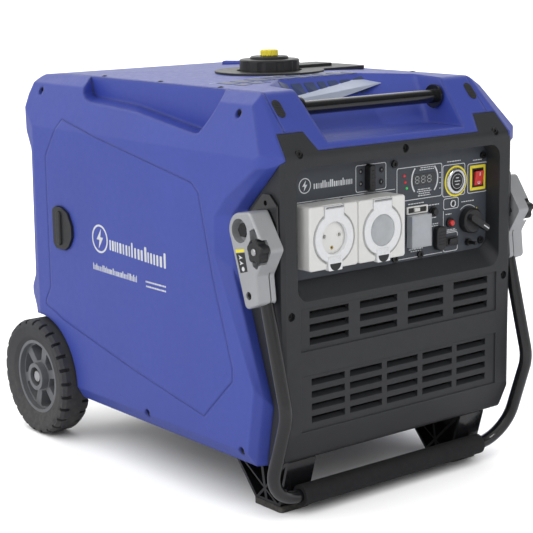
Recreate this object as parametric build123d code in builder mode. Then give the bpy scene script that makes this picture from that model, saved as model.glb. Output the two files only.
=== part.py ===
from build123d import *
import os
from math import cos, radians, sin

# ---------------------------------------------------------------- driving dimensions (mm)
# X runs across the machine, Y from its control face (front, -Y) to its wheels, Z up from the ground.
# Distances from front to back are given as a depth behind the face of the front frame.
FRONT = -383.914                # Y of the front frame's face
HALF_WIDTH = 283.0            # main faces of the side covers
SEAM = 223.0                  # half width of the top and rear covers between the side covers
TOP_HALF = 225.0              # half width of the flat top
TOP_Z = 680.0
CROWN = 7.0                   # rise of the top towards its middle
SHOULDER_Z = 585.0            # where the sides start to lean in
LEAN_BREAK = (250.0, 662.0)   # half width and height where they lean in further, up to the top
BOTTOM_Z = 90.0
WALL = 4.0                    # wall of the plastic housing
GAP = 0.6                     # gap between neighbouring covers
FRAME_HALF = 253.0            # half width of the black front frame
SLOPE_DEPTH = 81.0            # the front leans back by this much between shoulder and top

WHEEL_RADIUS = 110.0
WHEEL_WIDTH = 62.0
WHEEL_OUTER_X = 308.6
AXLE_DEPTH = 693.0
AXLE_RADIUS = 10.0
RUNNING = 0.05                # radial clearance of turning parts
ARCH_RADIUS = 119.0

PIVOT = (51.0, 475.0)         # depth and height of the handle's pivots
HANDLE_X = 272.0              # centre of the handle's side tubes
TUBE_RADIUS = 11.0
GRIP_RADIUS = 17.5
BRACKET_OUTER_X = 298.0
BRACKET_INNER_X = 262.0
CROSSBAR = (25.0, 33.0)       # depth and height of the handle's crossbar when folded down

PANEL_DEPTH = 30.0            # the control panel sits this far behind the frame's face
OUTLET_SIZE = 101.0
OUTLET_PROUD = 12.0

FILLER = (0.0, 346.0)         # x and depth of the fuel filler
BAR_DEPTH = 86.0
BAR_Z = 649.0

os.makedirs("parts", exist_ok=True)


# ---------------------------------------------------------------- helpers
def side(points):
    """Depth and height pairs as points of a plane parallel to YZ."""
    return [(FRONT + d, z) for d, z in points]


def plan(points):
    """X and depth pairs as points of a plane parallel to XY."""
    return [(x, FRONT + d) for x, d in points]


def side_plane(x):
    """Plane parallel to YZ whose local axes are the machine's Y and Z."""
    return Plane.YZ.offset(x)


def side_spot(x, spot):
    """The same plane, centred on a depth and height."""
    return Plane((x, FRONT + spot[0], spot[1]), x_dir=(0, 1, 0), z_dir=(1, 0, 0))


def front_plane(depth):
    """Plane facing the operator; extruding by a negative amount goes back into the machine."""
    return Plane.XZ.offset(-(FRONT + depth))


def front_spot(depth, spot, turn=0):
    """The same plane, centred on an x and height and turned anticlockwise."""
    angle = radians(turn)
    return Plane((spot[0], FRONT + depth, spot[1]), x_dir=(cos(angle), 0, sin(angle)), z_dir=(0, -1, 0))


def level(z):
    return Plane.XY.offset(z)


# The next five work on the part that is being built.
def prism(points, plane, length, grow=0.0, mode=Mode.ADD):
    """Closed outline, optionally grown, extruded from a plane along its normal."""
    with BuildSketch(plane) as outline:
        with BuildLine():
            Polyline(*points, close=True)
        make_face()
        if grow:
            offset(amount=grow, kind=Kind.INTERSECTION)
    extrude(outline.sketch, amount=length, mode=mode)


def block(x_span, d_span, z_span, mode=Mode.ADD):
    """Box between two values each of x, depth and height."""
    x0, x1 = sorted(x_span)
    with BuildSketch(level(z_span[0])) as footprint:
        with Locations(((x0 + x1) / 2, FRONT + sum(d_span) / 2)):
            Rectangle(x1 - x0, d_span[1] - d_span[0])
    extrude(footprint.sketch, amount=z_span[1] - z_span[0], mode=mode)


def rod(plane, radius, length, mode=Mode.ADD):
    """Round bar from a plane's origin along its normal."""
    with BuildSketch(plane) as disc:
        Circle(radius)
    extrude(disc.sketch, amount=length, mode=mode)


def front_rod(spot, start, end, radius, mode=Mode.ADD):
    """Round bar square to the control panel, between two depths."""
    rod(front_spot(end, spot), radius, end - start, mode)


def front_block(spot, width, height, start, end, radius=0.01, mode=Mode.ADD):
    """Rounded block square to the control panel, between two depths."""
    with BuildSketch(front_spot(end, spot)) as face:
        RectangleRounded(width, height, radius)
    extrude(face.sketch, amount=end - start, mode=mode)


def save(part, name):
    part.label = name
    export_step(part, f"parts/{name}.step")


# ---------------------------------------------------------------- outer form of the housing
FORM_FRONT = [(25, BOTTOM_Z), (0, 146), (0, 586), (SLOPE_DEPTH, TOP_Z)]
FORM_REAR = [(738, TOP_Z - 4), (746, 640), (742, 573), (710, 541), (720, 302), (752, 268), (722, 238), (712, 142),
             (655, 138), (628, BOTTOM_Z)]
REAR_FACET = [(HALF_WIDTH, 698), (HALF_WIDTH - 13, 743), (HALF_WIDTH - 16, 753)]
CREASE = [(-20, 584), (16, 579), (106, 520), (139, 484), (140, 428), (92, 326), (41, 222), (62, 92), (62, 60),
          (-20, 60)]
BEND = [(-20, 584), (5, 581), (80, 514), (104, 490), (104, 405), (68, 308), (31, 207), (52, 92), (52, 60), (-20, 60)]
REAR_EDGE = [(-20, 584), (-2, 583), (64, 518), (82, 500), (82, 345), (58, 277), (27, 190), (44, 92), (44, 60),
             (-20, 60)]
CHEEK_X = FRAME_HALF + 2      # side faces of the front frame, where the covers step in to it
BEND_X = 272.0                # between the gentle and the steep part of that step
SLOPE_FACET = [(229, 78.4, 677), (241.8, 28.3, 618.8), (263.6, 50, 630)]    # x, depth and height of points on it


def cheek(inset, sign):
    """Slanting cut in front of the crease, where a side cover steps in to the front frame."""
    with BuildPart() as cut:
        for outline, x in ((CREASE, HALF_WIDTH + 1), (BEND, BEND_X), (REAR_EDGE, CHEEK_X)):
            with BuildSketch(side_plane(sign * (x - inset))):
                with BuildLine():
                    Polyline(*side(outline), close=True)
                make_face()
                if inset:
                    offset(amount=inset, kind=Kind.INTERSECTION)
        loft(ruled=True)
    return cut.part


def slope_facet(sign, inset):
    """Plane of the facet that softens the edge between the leaning front and a side."""
    start, along, across = [Vector(sign * x, FRONT + d, z) for x, d, z in SLOPE_FACET]
    normal = (along - start).cross(across - start).normalized() * sign
    return Plane(start - normal * inset, z_dir=normal)


def envelope(inset):
    """The housing's outer form, drawn in all round by an inset."""
    cheeks = [cheek(inset, sign) for sign in (-1, 1)]
    with BuildPart() as form:
        with BuildSketch(side_plane(-HALF_WIDTH)) as profile:
            with BuildLine():
                ThreePointArc(*side([FORM_FRONT[-1], (400, TOP_Z + CROWN), FORM_REAR[0]]))
                Polyline(*side(FORM_REAR + FORM_FRONT))
            make_face()
            fillet(profile.vertices().filter_by(lambda v: v.Z > 530 or v.Z < 135), 16)
            if inset:
                offset(amount=-inset, kind=Kind.INTERSECTION)
        extrude(amount=2 * HALF_WIDTH)
        with BuildSketch(front_plane(-10)) as cross:
            with BuildLine():
                ThreePointArc((-TOP_HALF, TOP_Z), (0, TOP_Z + CROWN), (TOP_HALF, TOP_Z))
                Polyline((TOP_HALF, TOP_Z), LEAN_BREAK, (HALF_WIDTH, SHOULDER_Z), (HALF_WIDTH, 112),
                         (HALF_WIDTH - 14, BOTTOM_Z - 2), (14 - HALF_WIDTH, BOTTOM_Z - 2), (-HALF_WIDTH, 112),
                         (-HALF_WIDTH, SHOULDER_Z), (-LEAN_BREAK[0], LEAN_BREAK[1]), (-TOP_HALF, TOP_Z))
            make_face()
            fillet(cross.vertices().filter_by(lambda v: v.Z > 500), 28)
            if inset:
                offset(amount=-inset, kind=Kind.INTERSECTION)
        extrude(amount=-800, mode=Mode.INTERSECT)
        with BuildSketch(level(0)) as footprint:
            with BuildLine():
                left_facet = [(-x, d) for x, d in reversed(REAR_FACET)]
                Polyline(*plan([(-248, 0), (248, 0), (HALF_WIDTH, 22), *REAR_FACET, *left_facet,
                                (-HALF_WIDTH, 22)]), close=True)
            make_face()
            fillet(footprint.vertices().group_by(Axis.Y)[1], 24)
            fillet(footprint.vertices().group_by(Axis.Y)[2], 40)
            if inset:
                offset(amount=-inset, kind=Kind.INTERSECTION)
        extrude(amount=700, mode=Mode.INTERSECT)
        for cut in cheeks:
            add(cut, mode=Mode.SUBTRACT)
        for sign in (-1, 1):
            split(bisect_by=slope_facet(sign, inset), keep=Keep.BOTTOM)
    return form.part


outer_form = envelope(0)
inner_form = envelope(WALL)
housing_wall = outer_form - inner_form


def side_surface(z):
    """X of the side's outer surface at a height."""
    lean = max(0.0, z - SHOULDER_Z) / (LEAN_BREAK[1] - SHOULDER_Z)
    return HALF_WIDTH - lean * (HALF_WIDTH - LEAN_BREAK[0])


# ---------------------------------------------------------------- screw pockets
SIDE_SCREWS = [(706, 648), (103, 648), (344, 114), (76, 112)]
FRAME_SCREWS = [(-216, 590), (4, 580), (216, 590), (-238, 338), (238, 338)]
POCKET_RADIUS = 7.0
POCKET_DEPTH = 8.0
HEAD_RADIUS = 6.2
HEAD_HEIGHT = 3.5


def side_pockets(sign, radius, start):
    """Round bars along X at the side screws, starting this far below the surface."""
    for spot in SIDE_SCREWS:
        yield side_spot(sign * (side_surface(spot[1]) - start), spot), radius


# ---------------------------------------------------------------- side covers
DOOR = [(604, 604), (196, 533), (178, 518), (142, 381), (96, 245), (96, 223), (176, 147), (382, 183),
        (613, 231), (674, 252), (673, 262), (655, 288), (655, 534)]
SCOOP_RIM = [(566, 710), (553, 651), (538, 641), (520, 636.5), (361, 629.5), (203, 611), (189, 612), (90, 710)]
SCOOP_FLOOR = [(584, 710), (571, 652), (566, 646), (556, 643), (430, 637), (222, 607), (212, 608), (158, 710)]
SCOOP_X = (272, 226)          # x of the outlines of its rim and floor


def scoop(sign, grow):
    """Hand scoop under the top edge of a side, with an upright floor and a ledge below it."""
    with BuildPart() as pocket:
        for outline, x in ((SCOOP_RIM, SCOOP_X[0]), (SCOOP_FLOOR, SCOOP_X[1] - grow)):
            with BuildSketch(side_plane(sign * x)):
                with BuildLine():
                    Polyline(*side(outline), close=True)
                make_face()
                if grow:
                    offset(amount=grow, kind=Kind.INTERSECTION)
        loft(ruled=True)
        with BuildSketch(side_plane(sign * SCOOP_X[0])):
            with BuildLine():
                Polyline(*side(SCOOP_RIM), close=True)
            make_face()
            if grow:
                offset(amount=grow, kind=Kind.INTERSECTION)
        extrude(amount=sign * 20)
        add(outer_form, mode=Mode.INTERSECT)
    return pocket.part


def arch(sign, grow):
    """Wheel arch; grown by a wall it gives the arch's liner."""
    with BuildPart() as bay:
        with BuildSketch(side_plane(sign * (236 - grow))):
            with Locations((FRONT + AXLE_DEPTH, WHEEL_RADIUS)):
                Circle(ARCH_RADIUS + grow)
            with Locations((FRONT + AXLE_DEPTH, WHEEL_RADIUS - 100)):
                Rectangle(2 * (ARCH_RADIUS + grow), 200)
        extrude(amount=sign * 80)
        add(outer_form, mode=Mode.INTERSECT)
    return bay.part


EARS = [(-246, 570), (-246, 588), (-240, 620), (-187, 620), (-176, 592), (176, 592), (187, 620), (240, 620),
        (246, 588), (246, 570)]


def frame_zone(grow):
    """Everything ahead of the side covers' front edge, with the two ears above it."""
    with BuildPart() as zone:
        prism(side(REAR_EDGE), side_plane(-CHEEK_X - 3), 2 * CHEEK_X + 6, grow)
        prism(EARS, front_plane(-1), -60, grow)
    return zone.part


def side_cover(sign):
    """Side cover with its scoop, wheel arch and screw pockets."""
    scoops = scoop(sign, WALL), scoop(sign, 0)
    arches = arch(sign, WALL), arch(sign, 0)
    ahead = frame_zone(0)
    with BuildPart() as bosses:
        for spot, radius in side_pockets(sign, POCKET_RADIUS + 3, POCKET_DEPTH + 4):
            rod(spot, radius, sign * 40)
        add(outer_form, mode=Mode.INTERSECT)
    with BuildPart() as cover:
        add(housing_wall)
        add(bosses.part)
        add(scoops[0])
        add(arches[0])
        add(scoops[1], mode=Mode.SUBTRACT)
        add(arches[1], mode=Mode.SUBTRACT)
        block((sign * 300, sign * SEAM), (-10, 800), (60, 700), Mode.INTERSECT)
        add(ahead, mode=Mode.SUBTRACT)
        prism(side(REAR_EDGE), side_plane(sign * 200), sign * 100, 0, Mode.SUBTRACT)
        for spot, radius in side_pockets(sign, POCKET_RADIUS, POCKET_DEPTH):
            rod(spot, radius, sign * 40, Mode.SUBTRACT)
        rod(side_spot(sign * 230, (AXLE_DEPTH, WHEEL_RADIUS)), AXLE_RADIUS + 3, sign * 8, Mode.SUBTRACT)
    return cover.part


DOOR_GAP = 0.5
LATCH = [(630, 376), (630, 438), (622, 444), (600, 445), (579, 436), (566, 414), (566, 394), (577, 376), (590, 368),
         (620, 367)]
LATCH_PROUD = 5.0
LATCH_GRIP = (607, 406)       # depth and height of the raised grip's middle
left_cover, right_cover = side_cover(-1), side_cover(1)
with BuildPart() as left_side_cover:
    add(left_cover)
    prism(side(DOOR), side_plane(-300), 60, 0, Mode.SUBTRACT)
save(left_side_cover.part, "left_side_cover")

AIR_SLOTS = 8
with BuildPart() as right_side_cover:
    add(right_cover)
    with BuildSketch(side_plane(270)):
        for row in range(AIR_SLOTS):
            with Locations((FRONT + 430, 270 + 26 * row)):
                SlotOverall(250, 11)
    extrude(amount=40, mode=Mode.SUBTRACT)
save(right_side_cover.part, "right_side_cover")

with BuildPart() as service_door:
    add(housing_wall)
    prism(side(DOOR), side_plane(-300), 60, -DOOR_GAP, Mode.INTERSECT)
    prism(side(LATCH), side_plane(-300), 60, 0.5, Mode.SUBTRACT)
save(service_door.part, "service_door")

with BuildPart() as door_latch:
    with BuildSketch(side_plane(-HALF_WIDTH - LATCH_PROUD)) as latch_outline:
        with BuildLine():
            Polyline(*side(LATCH), close=True)
        make_face()
        fillet(latch_outline.vertices(), 4)
    extrude(amount=7)
    with BuildSketch(side_spot(-HALF_WIDTH - LATCH_PROUD, LATCH_GRIP)):
        SlotOverall(64, 15, rotation=90)
    extrude(amount=-4)
    fillet(door_latch.edges().group_by(Axis.X)[0], 3)
save(door_latch.part, "door_latch")

# ---------------------------------------------------------------- black front frame
OPENING = [(-2, 450, 356, 568), (PANEL_DEPTH, 446, 386, 566)]    # depth, width, bottom and top of the opening
LOUVRES = [(4, 82.0, 24.0, 3, 12.0, 21.5, 333.0), (5, 70.0, 11.0, 4, 11.0, 20.5, 223.0)]
FIELDS = [(278, 347), (147, 238)]


def panel_opening(grow):
    """Opening for the control panel, with a sill that slopes down to the front."""
    with BuildPart() as opening:
        for d, width, low, high in OPENING:
            with BuildSketch(front_spot(d, (0, (low + high) / 2))):
                RectangleRounded(width + 2 * grow, high - low + 2 * grow, 22)
        loft()
    return opening.part


with BuildPart() as louvres:
    for columns, width, gap, rows, height, pitch, top in LOUVRES:
        for column in range(columns):
            start = (column - columns / 2) * (width + gap) + gap / 2
            for row in range(rows):
                low = top - row * pitch - height / 2
                slot = [(-2, low), (-2, low + height), (14, low + height + 9), (14, low + 9)]
                prism(side(slot), side_plane(start), width)

opening_grown, opening_cut = panel_opening(3), panel_opening(0)
with BuildPart() as opening_walls:
    add(opening_grown)
    block((-260, 260), (0.5, PANEL_DEPTH), (340, 590), Mode.INTERSECT)
    add(outer_form, mode=Mode.INTERSECT)
frame_area = frame_zone(-GAP)

with BuildPart() as front_frame:
    add(housing_wall)
    for x, z in FRAME_SCREWS:
        front_rod((x, z), 1, POCKET_DEPTH + 4, POCKET_RADIUS + 2.5)
    add(outer_form, mode=Mode.INTERSECT)
    add(frame_area, mode=Mode.INTERSECT)
    add(opening_walls.part)
    for low, high in FIELDS:
        block((-214, 214), (2, 12), (low + 2, high - 2))
        block((-220, 220), (-1, 2.5), (low, high), Mode.SUBTRACT)
    add(opening_cut, mode=Mode.SUBTRACT)
    add(louvres.part, mode=Mode.SUBTRACT)
    for x, z in FRAME_SCREWS:
        front_rod((x, z), -5, POCKET_DEPTH, POCKET_RADIUS, Mode.SUBTRACT)
save(front_frame.part, "front_frame")

# ---------------------------------------------------------------- top cover with the grab bar's scoop
BAR_FLOOR = [(-150, -6), (150, -6), (150, 105), (75, 132), (-75, 132), (-150, 105)]
BAR_RIM = [(-164, -6), (164, -6), (162, 150), (88, 222), (-88, 222), (-162, 150)]
BAR_FLOOR_Z = 602.0
BAR_LINE = Plane((-168, FRONT + BAR_DEPTH, BAR_Z), z_dir=(1, 0, 0))
BAR_RADIUS = 11.5
BAR_LENGTH = 336.0
FLANGE_X = 153.0


def bar_scoop(grow):
    """Open scoop around the grab bar, wider at its rim than at its floor."""
    with BuildPart() as bay:
        for outline, z in ((BAR_FLOOR, BAR_FLOOR_Z - grow), (BAR_RIM, 692)):
            with BuildSketch(level(z)) as ring:
                with BuildLine():
                    Polyline(*plan(outline), close=True)
                make_face()
                fillet(ring.vertices().group_by(Axis.Y)[1:], 14)
                if grow:
                    offset(amount=grow)
        loft(ruled=True)
        add(outer_form, mode=Mode.INTERSECT)
    return bay.part


bar_scoops = bar_scoop(WALL), bar_scoop(0)
frame_area = frame_zone(0)
with BuildPart() as top_cover:
    add(housing_wall)
    add(bar_scoops[0])
    add(bar_scoops[1], mode=Mode.SUBTRACT)
    block((GAP - SEAM, SEAM - GAP), (-10, 800), (560, 700), Mode.INTERSECT)
    add(frame_area, mode=Mode.SUBTRACT)
    rod(Plane((FILLER[0], FRONT + FILLER[1], 600)), 58, 100, Mode.SUBTRACT)
    rod(BAR_LINE, BAR_RADIUS + 1, BAR_LENGTH, Mode.SUBTRACT)
save(top_cover.part, "top_cover")

with BuildPart() as grab_bar:
    rod(BAR_LINE, BAR_RADIUS, BAR_LENGTH)
    for sign in (-1, 1):
        rod(Plane((sign * FLANGE_X, FRONT + BAR_DEPTH, BAR_Z), z_dir=(-sign, 0, 0)), 20, 5)
save(grab_bar.part, "grab_bar")

# ---------------------------------------------------------------- rear cover
EXHAUST = (120, 330)          # x and height of the exhaust outlet
with BuildPart() as rear_cover:
    add(housing_wall)
    block((GAP - SEAM, SEAM - GAP), (640, 800), (150, 560 - GAP), Mode.INTERSECT)
    with BuildSketch(front_plane(690)):
        for row in range(9):
            with Locations((-60, 350 + 21 * row)):
                SlotOverall(230, 10)
    extrude(amount=-80, mode=Mode.SUBTRACT)
    front_rod(EXHAUST, 690, 770, 32, Mode.SUBTRACT)
save(rear_cover.part, "rear_cover")

# ---------------------------------------------------------------- base pan, legs, feet
PAN_Z = BOTTOM_Z + WALL + 0.5
PAN_THICK = 5.0
PAN_REAR_Z = 143.0
PAN_SIDE = [(48, PAN_Z), (620, PAN_Z), (652, PAN_REAR_Z), (702, PAN_REAR_Z), (702, PAN_REAR_Z + PAN_THICK),
            (650, PAN_REAR_Z + PAN_THICK), (618, PAN_Z + PAN_THICK), (48, PAN_Z + PAN_THICK)]
LEG_X = (166, 224)
LEG_TOP = BOTTOM_Z
LEG_SIDE = [(30, LEG_TOP), (190, LEG_TOP), (118, 10), (53, 10)]
RIB = 6.0

with BuildPart() as base_pan:
    prism(side(PAN_SIDE), side_plane(-229), 458)
    for sign in (-1, 1):
        block((sign * 229, sign * 225), (48, 620), (PAN_Z, 150))
        block((sign * 229, sign * 262), (75, 550), (PAN_Z, PAN_Z + PAN_THICK))
        block((sign * 172, sign * 218), (56, 180), (LEG_TOP, PAN_Z + 1))
        block((sign * 222, sign * 230), (640, 710), (PAN_Z, 160), Mode.SUBTRACT)
save(base_pan.part, "base_pan")

with BuildPart() as leg_pockets:
    for sign in (-1, 1):
        for start, depth in ((LEG_X[0] - 1, 24), (LEG_X[1] + 1, -24)):
            prism(side(LEG_SIDE), side_plane(sign * start), sign * depth, -5)
    for rib in ([(30, LEG_TOP), (30 + RIB, LEG_TOP), (118, 10), (118 - RIB, 10)],
                [(190 - RIB, LEG_TOP), (190, LEG_TOP), (53 + RIB, 10), (53, 10)],
                [(100, LEG_TOP), (100 + RIB, LEG_TOP), (85 + RIB, 10), (85, 10)]):
        prism(side(rib), side_plane(-230), 460, 0, Mode.SUBTRACT)

with BuildPart() as front_legs:
    for sign in (-1, 1):
        prism(side(LEG_SIDE), side_plane(sign * LEG_X[0]), sign * (LEG_X[1] - LEG_X[0]))
    add(leg_pockets.part, mode=Mode.SUBTRACT)
save(front_legs.part, "front_legs")

FOOT = (195, 85)              # x and depth of a foot's centre
with BuildPart() as foot_pads:
    with BuildSketch(level(0)):
        with Locations(*plan([(-FOOT[0], FOOT[1]), FOOT])):
            RectangleRounded(60, 72, 6)
    extrude(amount=10)
save(foot_pads.part, "foot_pads")

# ---------------------------------------------------------------- axle and wheels
AXLE_SPOT = (AXLE_DEPTH, WHEEL_RADIUS)
AXLE_HALF = 300.0
with BuildPart() as wheel_axle:
    rod(side_spot(-AXLE_HALF, AXLE_SPOT), AXLE_RADIUS, 2 * AXLE_HALF)
save(wheel_axle.part, "wheel_axle")

with BuildPart() as axle_brackets:
    for x in (-205, 199):
        prism(side([(664, PAN_REAR_Z), (702, PAN_REAR_Z), (706, 98), (693, 92), (680, 98)]), side_plane(x), 6)
    rod(side_spot(-AXLE_HALF, AXLE_SPOT), AXLE_RADIUS, 2 * AXLE_HALF, Mode.SUBTRACT)
save(axle_brackets.part, "axle_brackets")

RIM_RADIUS = 70.0
TYRE_PROFILE = [(RIM_RADIUS, -22), (78, -27), (97, -31), (106, -29), (WHEEL_RADIUS, -22), (WHEEL_RADIUS, 22),
                (106, 29), (97, 31), (78, 27), (RIM_RADIUS, 22)]
SPOKES = 6
TREAD_BLOCKS = 26
WINDOW = [(29, -8), (58, -23), (61, 0), (58, 23), (29, 8)]


def wheel_plane(sign, outward=0.0):
    """Plane square to the axle, this far outward of the wheel's middle."""
    centre = sign * (WHEEL_OUTER_X - WHEEL_WIDTH / 2 + outward)
    return Plane((centre, FRONT + AXLE_DEPTH, WHEEL_RADIUS), x_dir=(0, 1, 0), z_dir=(sign, 0, 0))


def tyre(sign):
    """Solid tyre with a groove between each pair of tread blocks on both shoulders."""
    middle = wheel_plane(sign)
    with BuildPart() as part:
        with BuildSketch(Plane(middle.origin, x_dir=(0, 0, 1), z_dir=(0, sign, 0))):
            with BuildLine():
                Polyline(*TYRE_PROFILE, close=True)
            make_face()
        revolve(axis=Axis(middle.origin, (1, 0, 0)))
        for edge in (-1, 1):
            with BuildSketch(wheel_plane(sign, edge * 22)):
                with PolarLocations(109, TREAD_BLOCKS, start_angle=edge * 3.5):
                    Rectangle(14, 6.5)
            extrude(amount=10, both=True, mode=Mode.SUBTRACT)
    return part.part


def hub(sign):
    """Moulded wheel centre with spokes, a raised boss and a running bore."""
    with BuildPart() as part:
        with BuildSketch(wheel_plane(sign, -22)):
            Circle(RIM_RADIUS)
        extrude(amount=44)
        for face, depth in ((12, 14), (-12, -14)):
            with BuildSketch(wheel_plane(sign, face)):
                Circle(64)
                Circle(26, mode=Mode.SUBTRACT)
            extrude(amount=depth, mode=Mode.SUBTRACT)
        with BuildSketch(wheel_plane(sign, -20)) as windows:
            with PolarLocations(0, SPOKES, start_angle=16 * sign):
                Polygon(*WINDOW, align=None)
            fillet(windows.vertices(), 3)
        extrude(amount=40, mode=Mode.SUBTRACT)
        with BuildSketch(wheel_plane(sign, 22)):
            Circle(26)
        extrude(amount=4)
        with BuildSketch(wheel_plane(sign, 14)):
            Circle(18)
        extrude(amount=20, mode=Mode.SUBTRACT)
        with BuildSketch(wheel_plane(sign, -60)):
            Circle(AXLE_RADIUS + RUNNING)
        extrude(amount=120, mode=Mode.SUBTRACT)
    return part.part


for sign, name in ((-1, "left"), (1, "right")):
    save(tyre(sign), f"tyre_{name}")
    save(hub(sign), f"wheel_hub_{name}")

with BuildPart() as axle_nuts:
    for sign in (-1, 1):
        with BuildSketch(wheel_plane(sign, 14.5)):
            RegularPolygon(14.5, 6)
            Circle(AXLE_RADIUS, mode=Mode.SUBTRACT)
        extrude(amount=7)
save(axle_nuts.part, "axle_nuts")

# ---------------------------------------------------------------- fold-down handle
KNEE = (-27.0, 190.0)
TUBE_TOP = (38.0, 432.0)
BEND_RADIUS = 65.0
GRIP_HALF = 205.0
TUBE_WALL = 2.0

with BuildPart() as handle_tube:
    left_leg = [(-HANDLE_X, FRONT + d, z) for d, z in (TUBE_TOP, KNEE, CROSSBAR)]
    right_leg = [(-x, y, z) for x, y, z in reversed(left_leg)]
    with BuildLine() as centreline:
        FilletPolyline(*left_leg, *right_leg, radius=BEND_RADIUS)
    with BuildSketch(Plane(centreline.line @ 0, z_dir=centreline.line % 0)):
        Circle(TUBE_RADIUS)
        Circle(TUBE_RADIUS - TUBE_WALL, mode=Mode.SUBTRACT)
    sweep()
save(handle_tube.part, "handle_tube")

with BuildPart() as handle_grip:
    with BuildSketch(Plane((-GRIP_HALF, FRONT + CROSSBAR[0], CROSSBAR[1]), z_dir=(1, 0, 0))):
        Circle(GRIP_RADIUS)
        Circle(TUBE_RADIUS, mode=Mode.SUBTRACT)
    extrude(amount=2 * GRIP_HALF)
save(handle_grip.part, "handle_grip")

KNOB = (9.0, 448.0)
CLAMP_SCREW = (30.0, 376.0)
EYE_RADIUS = 28.0
BRACKET_SIDE = [(76, 463), (39, 352), (7, 364), (12, 408), (-13, 450), (26, 507), (51, 503)]
POCKET = [(26, 478), (19, 424), (8, 420), (-6, 449), (14, 484)]
BOLT_RADIUS = 7.0
STUD_RADIUS = 4.0
CLAMP_RADIUS = 3.0
SLIT = 2.0


def bracket(sign):
    """Cast bracket that joins a side tube to its pivot; the pivot is an eye, the tube end a split clamp."""
    outer = sign * BRACKET_OUTER_X
    inward = -sign
    tube_end = Plane((sign * HANDLE_X, FRONT + TUBE_TOP[0], TUBE_TOP[1]),
                     z_dir=(0, KNEE[0] - TUBE_TOP[0], KNEE[1] - TUBE_TOP[1]))
    with BuildPart() as cast:
        with BuildSketch(side_plane(outer)) as outline:
            with BuildLine():
                Polyline(*side(BRACKET_SIDE), close=True)
            make_face()
            fillet(outline.vertices(), 8)
            with Locations(*side([PIVOT])):
                Circle(EYE_RADIUS)
        extrude(amount=inward * (BRACKET_OUTER_X - BRACKET_INNER_X))
        fillet(cast.faces().sort_by(Axis.X)[0 if sign < 0 else -1].edges(), 4)
        with BuildSketch(side_plane(outer)) as hollow:
            with BuildLine():
                Polyline(*side(POCKET), close=True)
            make_face()
            fillet(hollow.vertices(), 3)
            with Locations(*side([KNOB])):
                Circle(21.5)
        extrude(amount=inward * 12, mode=Mode.SUBTRACT)
        rod(side_spot(outer, PIVOT), 19, inward * 14, Mode.SUBTRACT)
        rod(side_spot(outer, CLAMP_SCREW), 6.5, inward * 8, Mode.SUBTRACT)
        rod(side_spot(outer, PIVOT), BOLT_RADIUS + RUNNING, inward * 80, Mode.SUBTRACT)
        rod(side_spot(outer, KNOB), STUD_RADIUS + RUNNING, inward * 80, Mode.SUBTRACT)
        rod(side_spot(outer, CLAMP_SCREW), CLAMP_RADIUS, inward * 20, Mode.SUBTRACT)
        rod(tube_end, TUBE_RADIUS, 120, Mode.SUBTRACT)
        block((sign * HANDLE_X - SLIT / 2, sign * HANDLE_X + SLIT / 2), (-20, 24), (340, 412), Mode.SUBTRACT)
    return cast.part


for sign, name in ((-1, "left"), (1, "right")):
    save(bracket(sign), f"handle_bracket_{name}")

with BuildPart() as clamp_screws:
    for sign in (-1, 1):
        rod(side_spot(sign * 290, CLAMP_SCREW), 5.5, sign * 5)
        rod(side_spot(sign * 283.2, CLAMP_SCREW), CLAMP_RADIUS, sign * 8)
        with BuildSketch(side_spot(sign * 293, CLAMP_SCREW)):
            RegularPolygon(2.6, 6)
        extrude(amount=sign * 4, mode=Mode.SUBTRACT)
save(clamp_screws.part, "clamp_screws")

PLATE_SIDE = [(40, 530), (24, 530), (7, 515), (6, 440), (40, 400), (70, 400), (78, 440), (78, 492), (58, 512)]
PLATE_X = (CHEEK_X + 0.3, CHEEK_X + 4.8)
with BuildPart() as handle_mounts:
    for sign in (-1, 1):
        with BuildSketch(side_plane(sign * PLATE_X[0])) as plate:
            with BuildLine():
                Polyline(*side(PLATE_SIDE), close=True)
            make_face()
            fillet(plate.vertices(), 4)
            with Locations(*side([PIVOT])):
                Circle(BOLT_RADIUS, mode=Mode.SUBTRACT)
            with Locations(*side([(34, 516)])):
                Circle(4, mode=Mode.SUBTRACT)
        extrude(amount=sign * (PLATE_X[1] - PLATE_X[0]))
save(handle_mounts.part, "handle_mounts")

# The pivot bolt carries the bracket on its shank, between a washer on the plate and its own head.
BOLT_HEAD_X = BRACKET_OUTER_X - 14 + 0.1
with BuildPart() as pivot_bolts:
    for sign in (-1, 1):
        rod(side_spot(sign * PLATE_X[0], PIVOT), BOLT_RADIUS, sign * (BOLT_HEAD_X - PLATE_X[0]))
        rod(side_spot(sign * PLATE_X[1], PIVOT), 13, sign * (BRACKET_INNER_X - PLATE_X[1] - 0.1))
        with BuildSketch(side_spot(sign * BOLT_HEAD_X, PIVOT)):
            RegularPolygon(11.5, 6)
        extrude(amount=sign * 8)
save(pivot_bolts.part, "pivot_bolts")

KNOB_LOBES = 5


def lock_knob(sign):
    """Star knob whose stud bears on the mounting plate to hold the handle where it stands."""
    stud_tip = PLATE_X[1] + 0.5
    with BuildPart() as knob:
        with BuildSketch(side_spot(sign * 287, KNOB)) as star:
            Circle(15)
            with PolarLocations(12.5, KNOB_LOBES, start_angle=90):
                Circle(7)
            fillet(star.vertices(), 4)
        extrude(amount=sign * 16)
        fillet(knob.faces().sort_by(Axis.X)[0 if sign < 0 else -1].edges(), 3)
        rod(side_spot(sign * stud_tip, KNOB), STUD_RADIUS, sign * (304.5 - stud_tip))
    return knob.part


for sign, name in ((-1, "left"), (1, "right")):
    save(lock_knob(sign), f"lock_knob_{name}")

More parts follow.
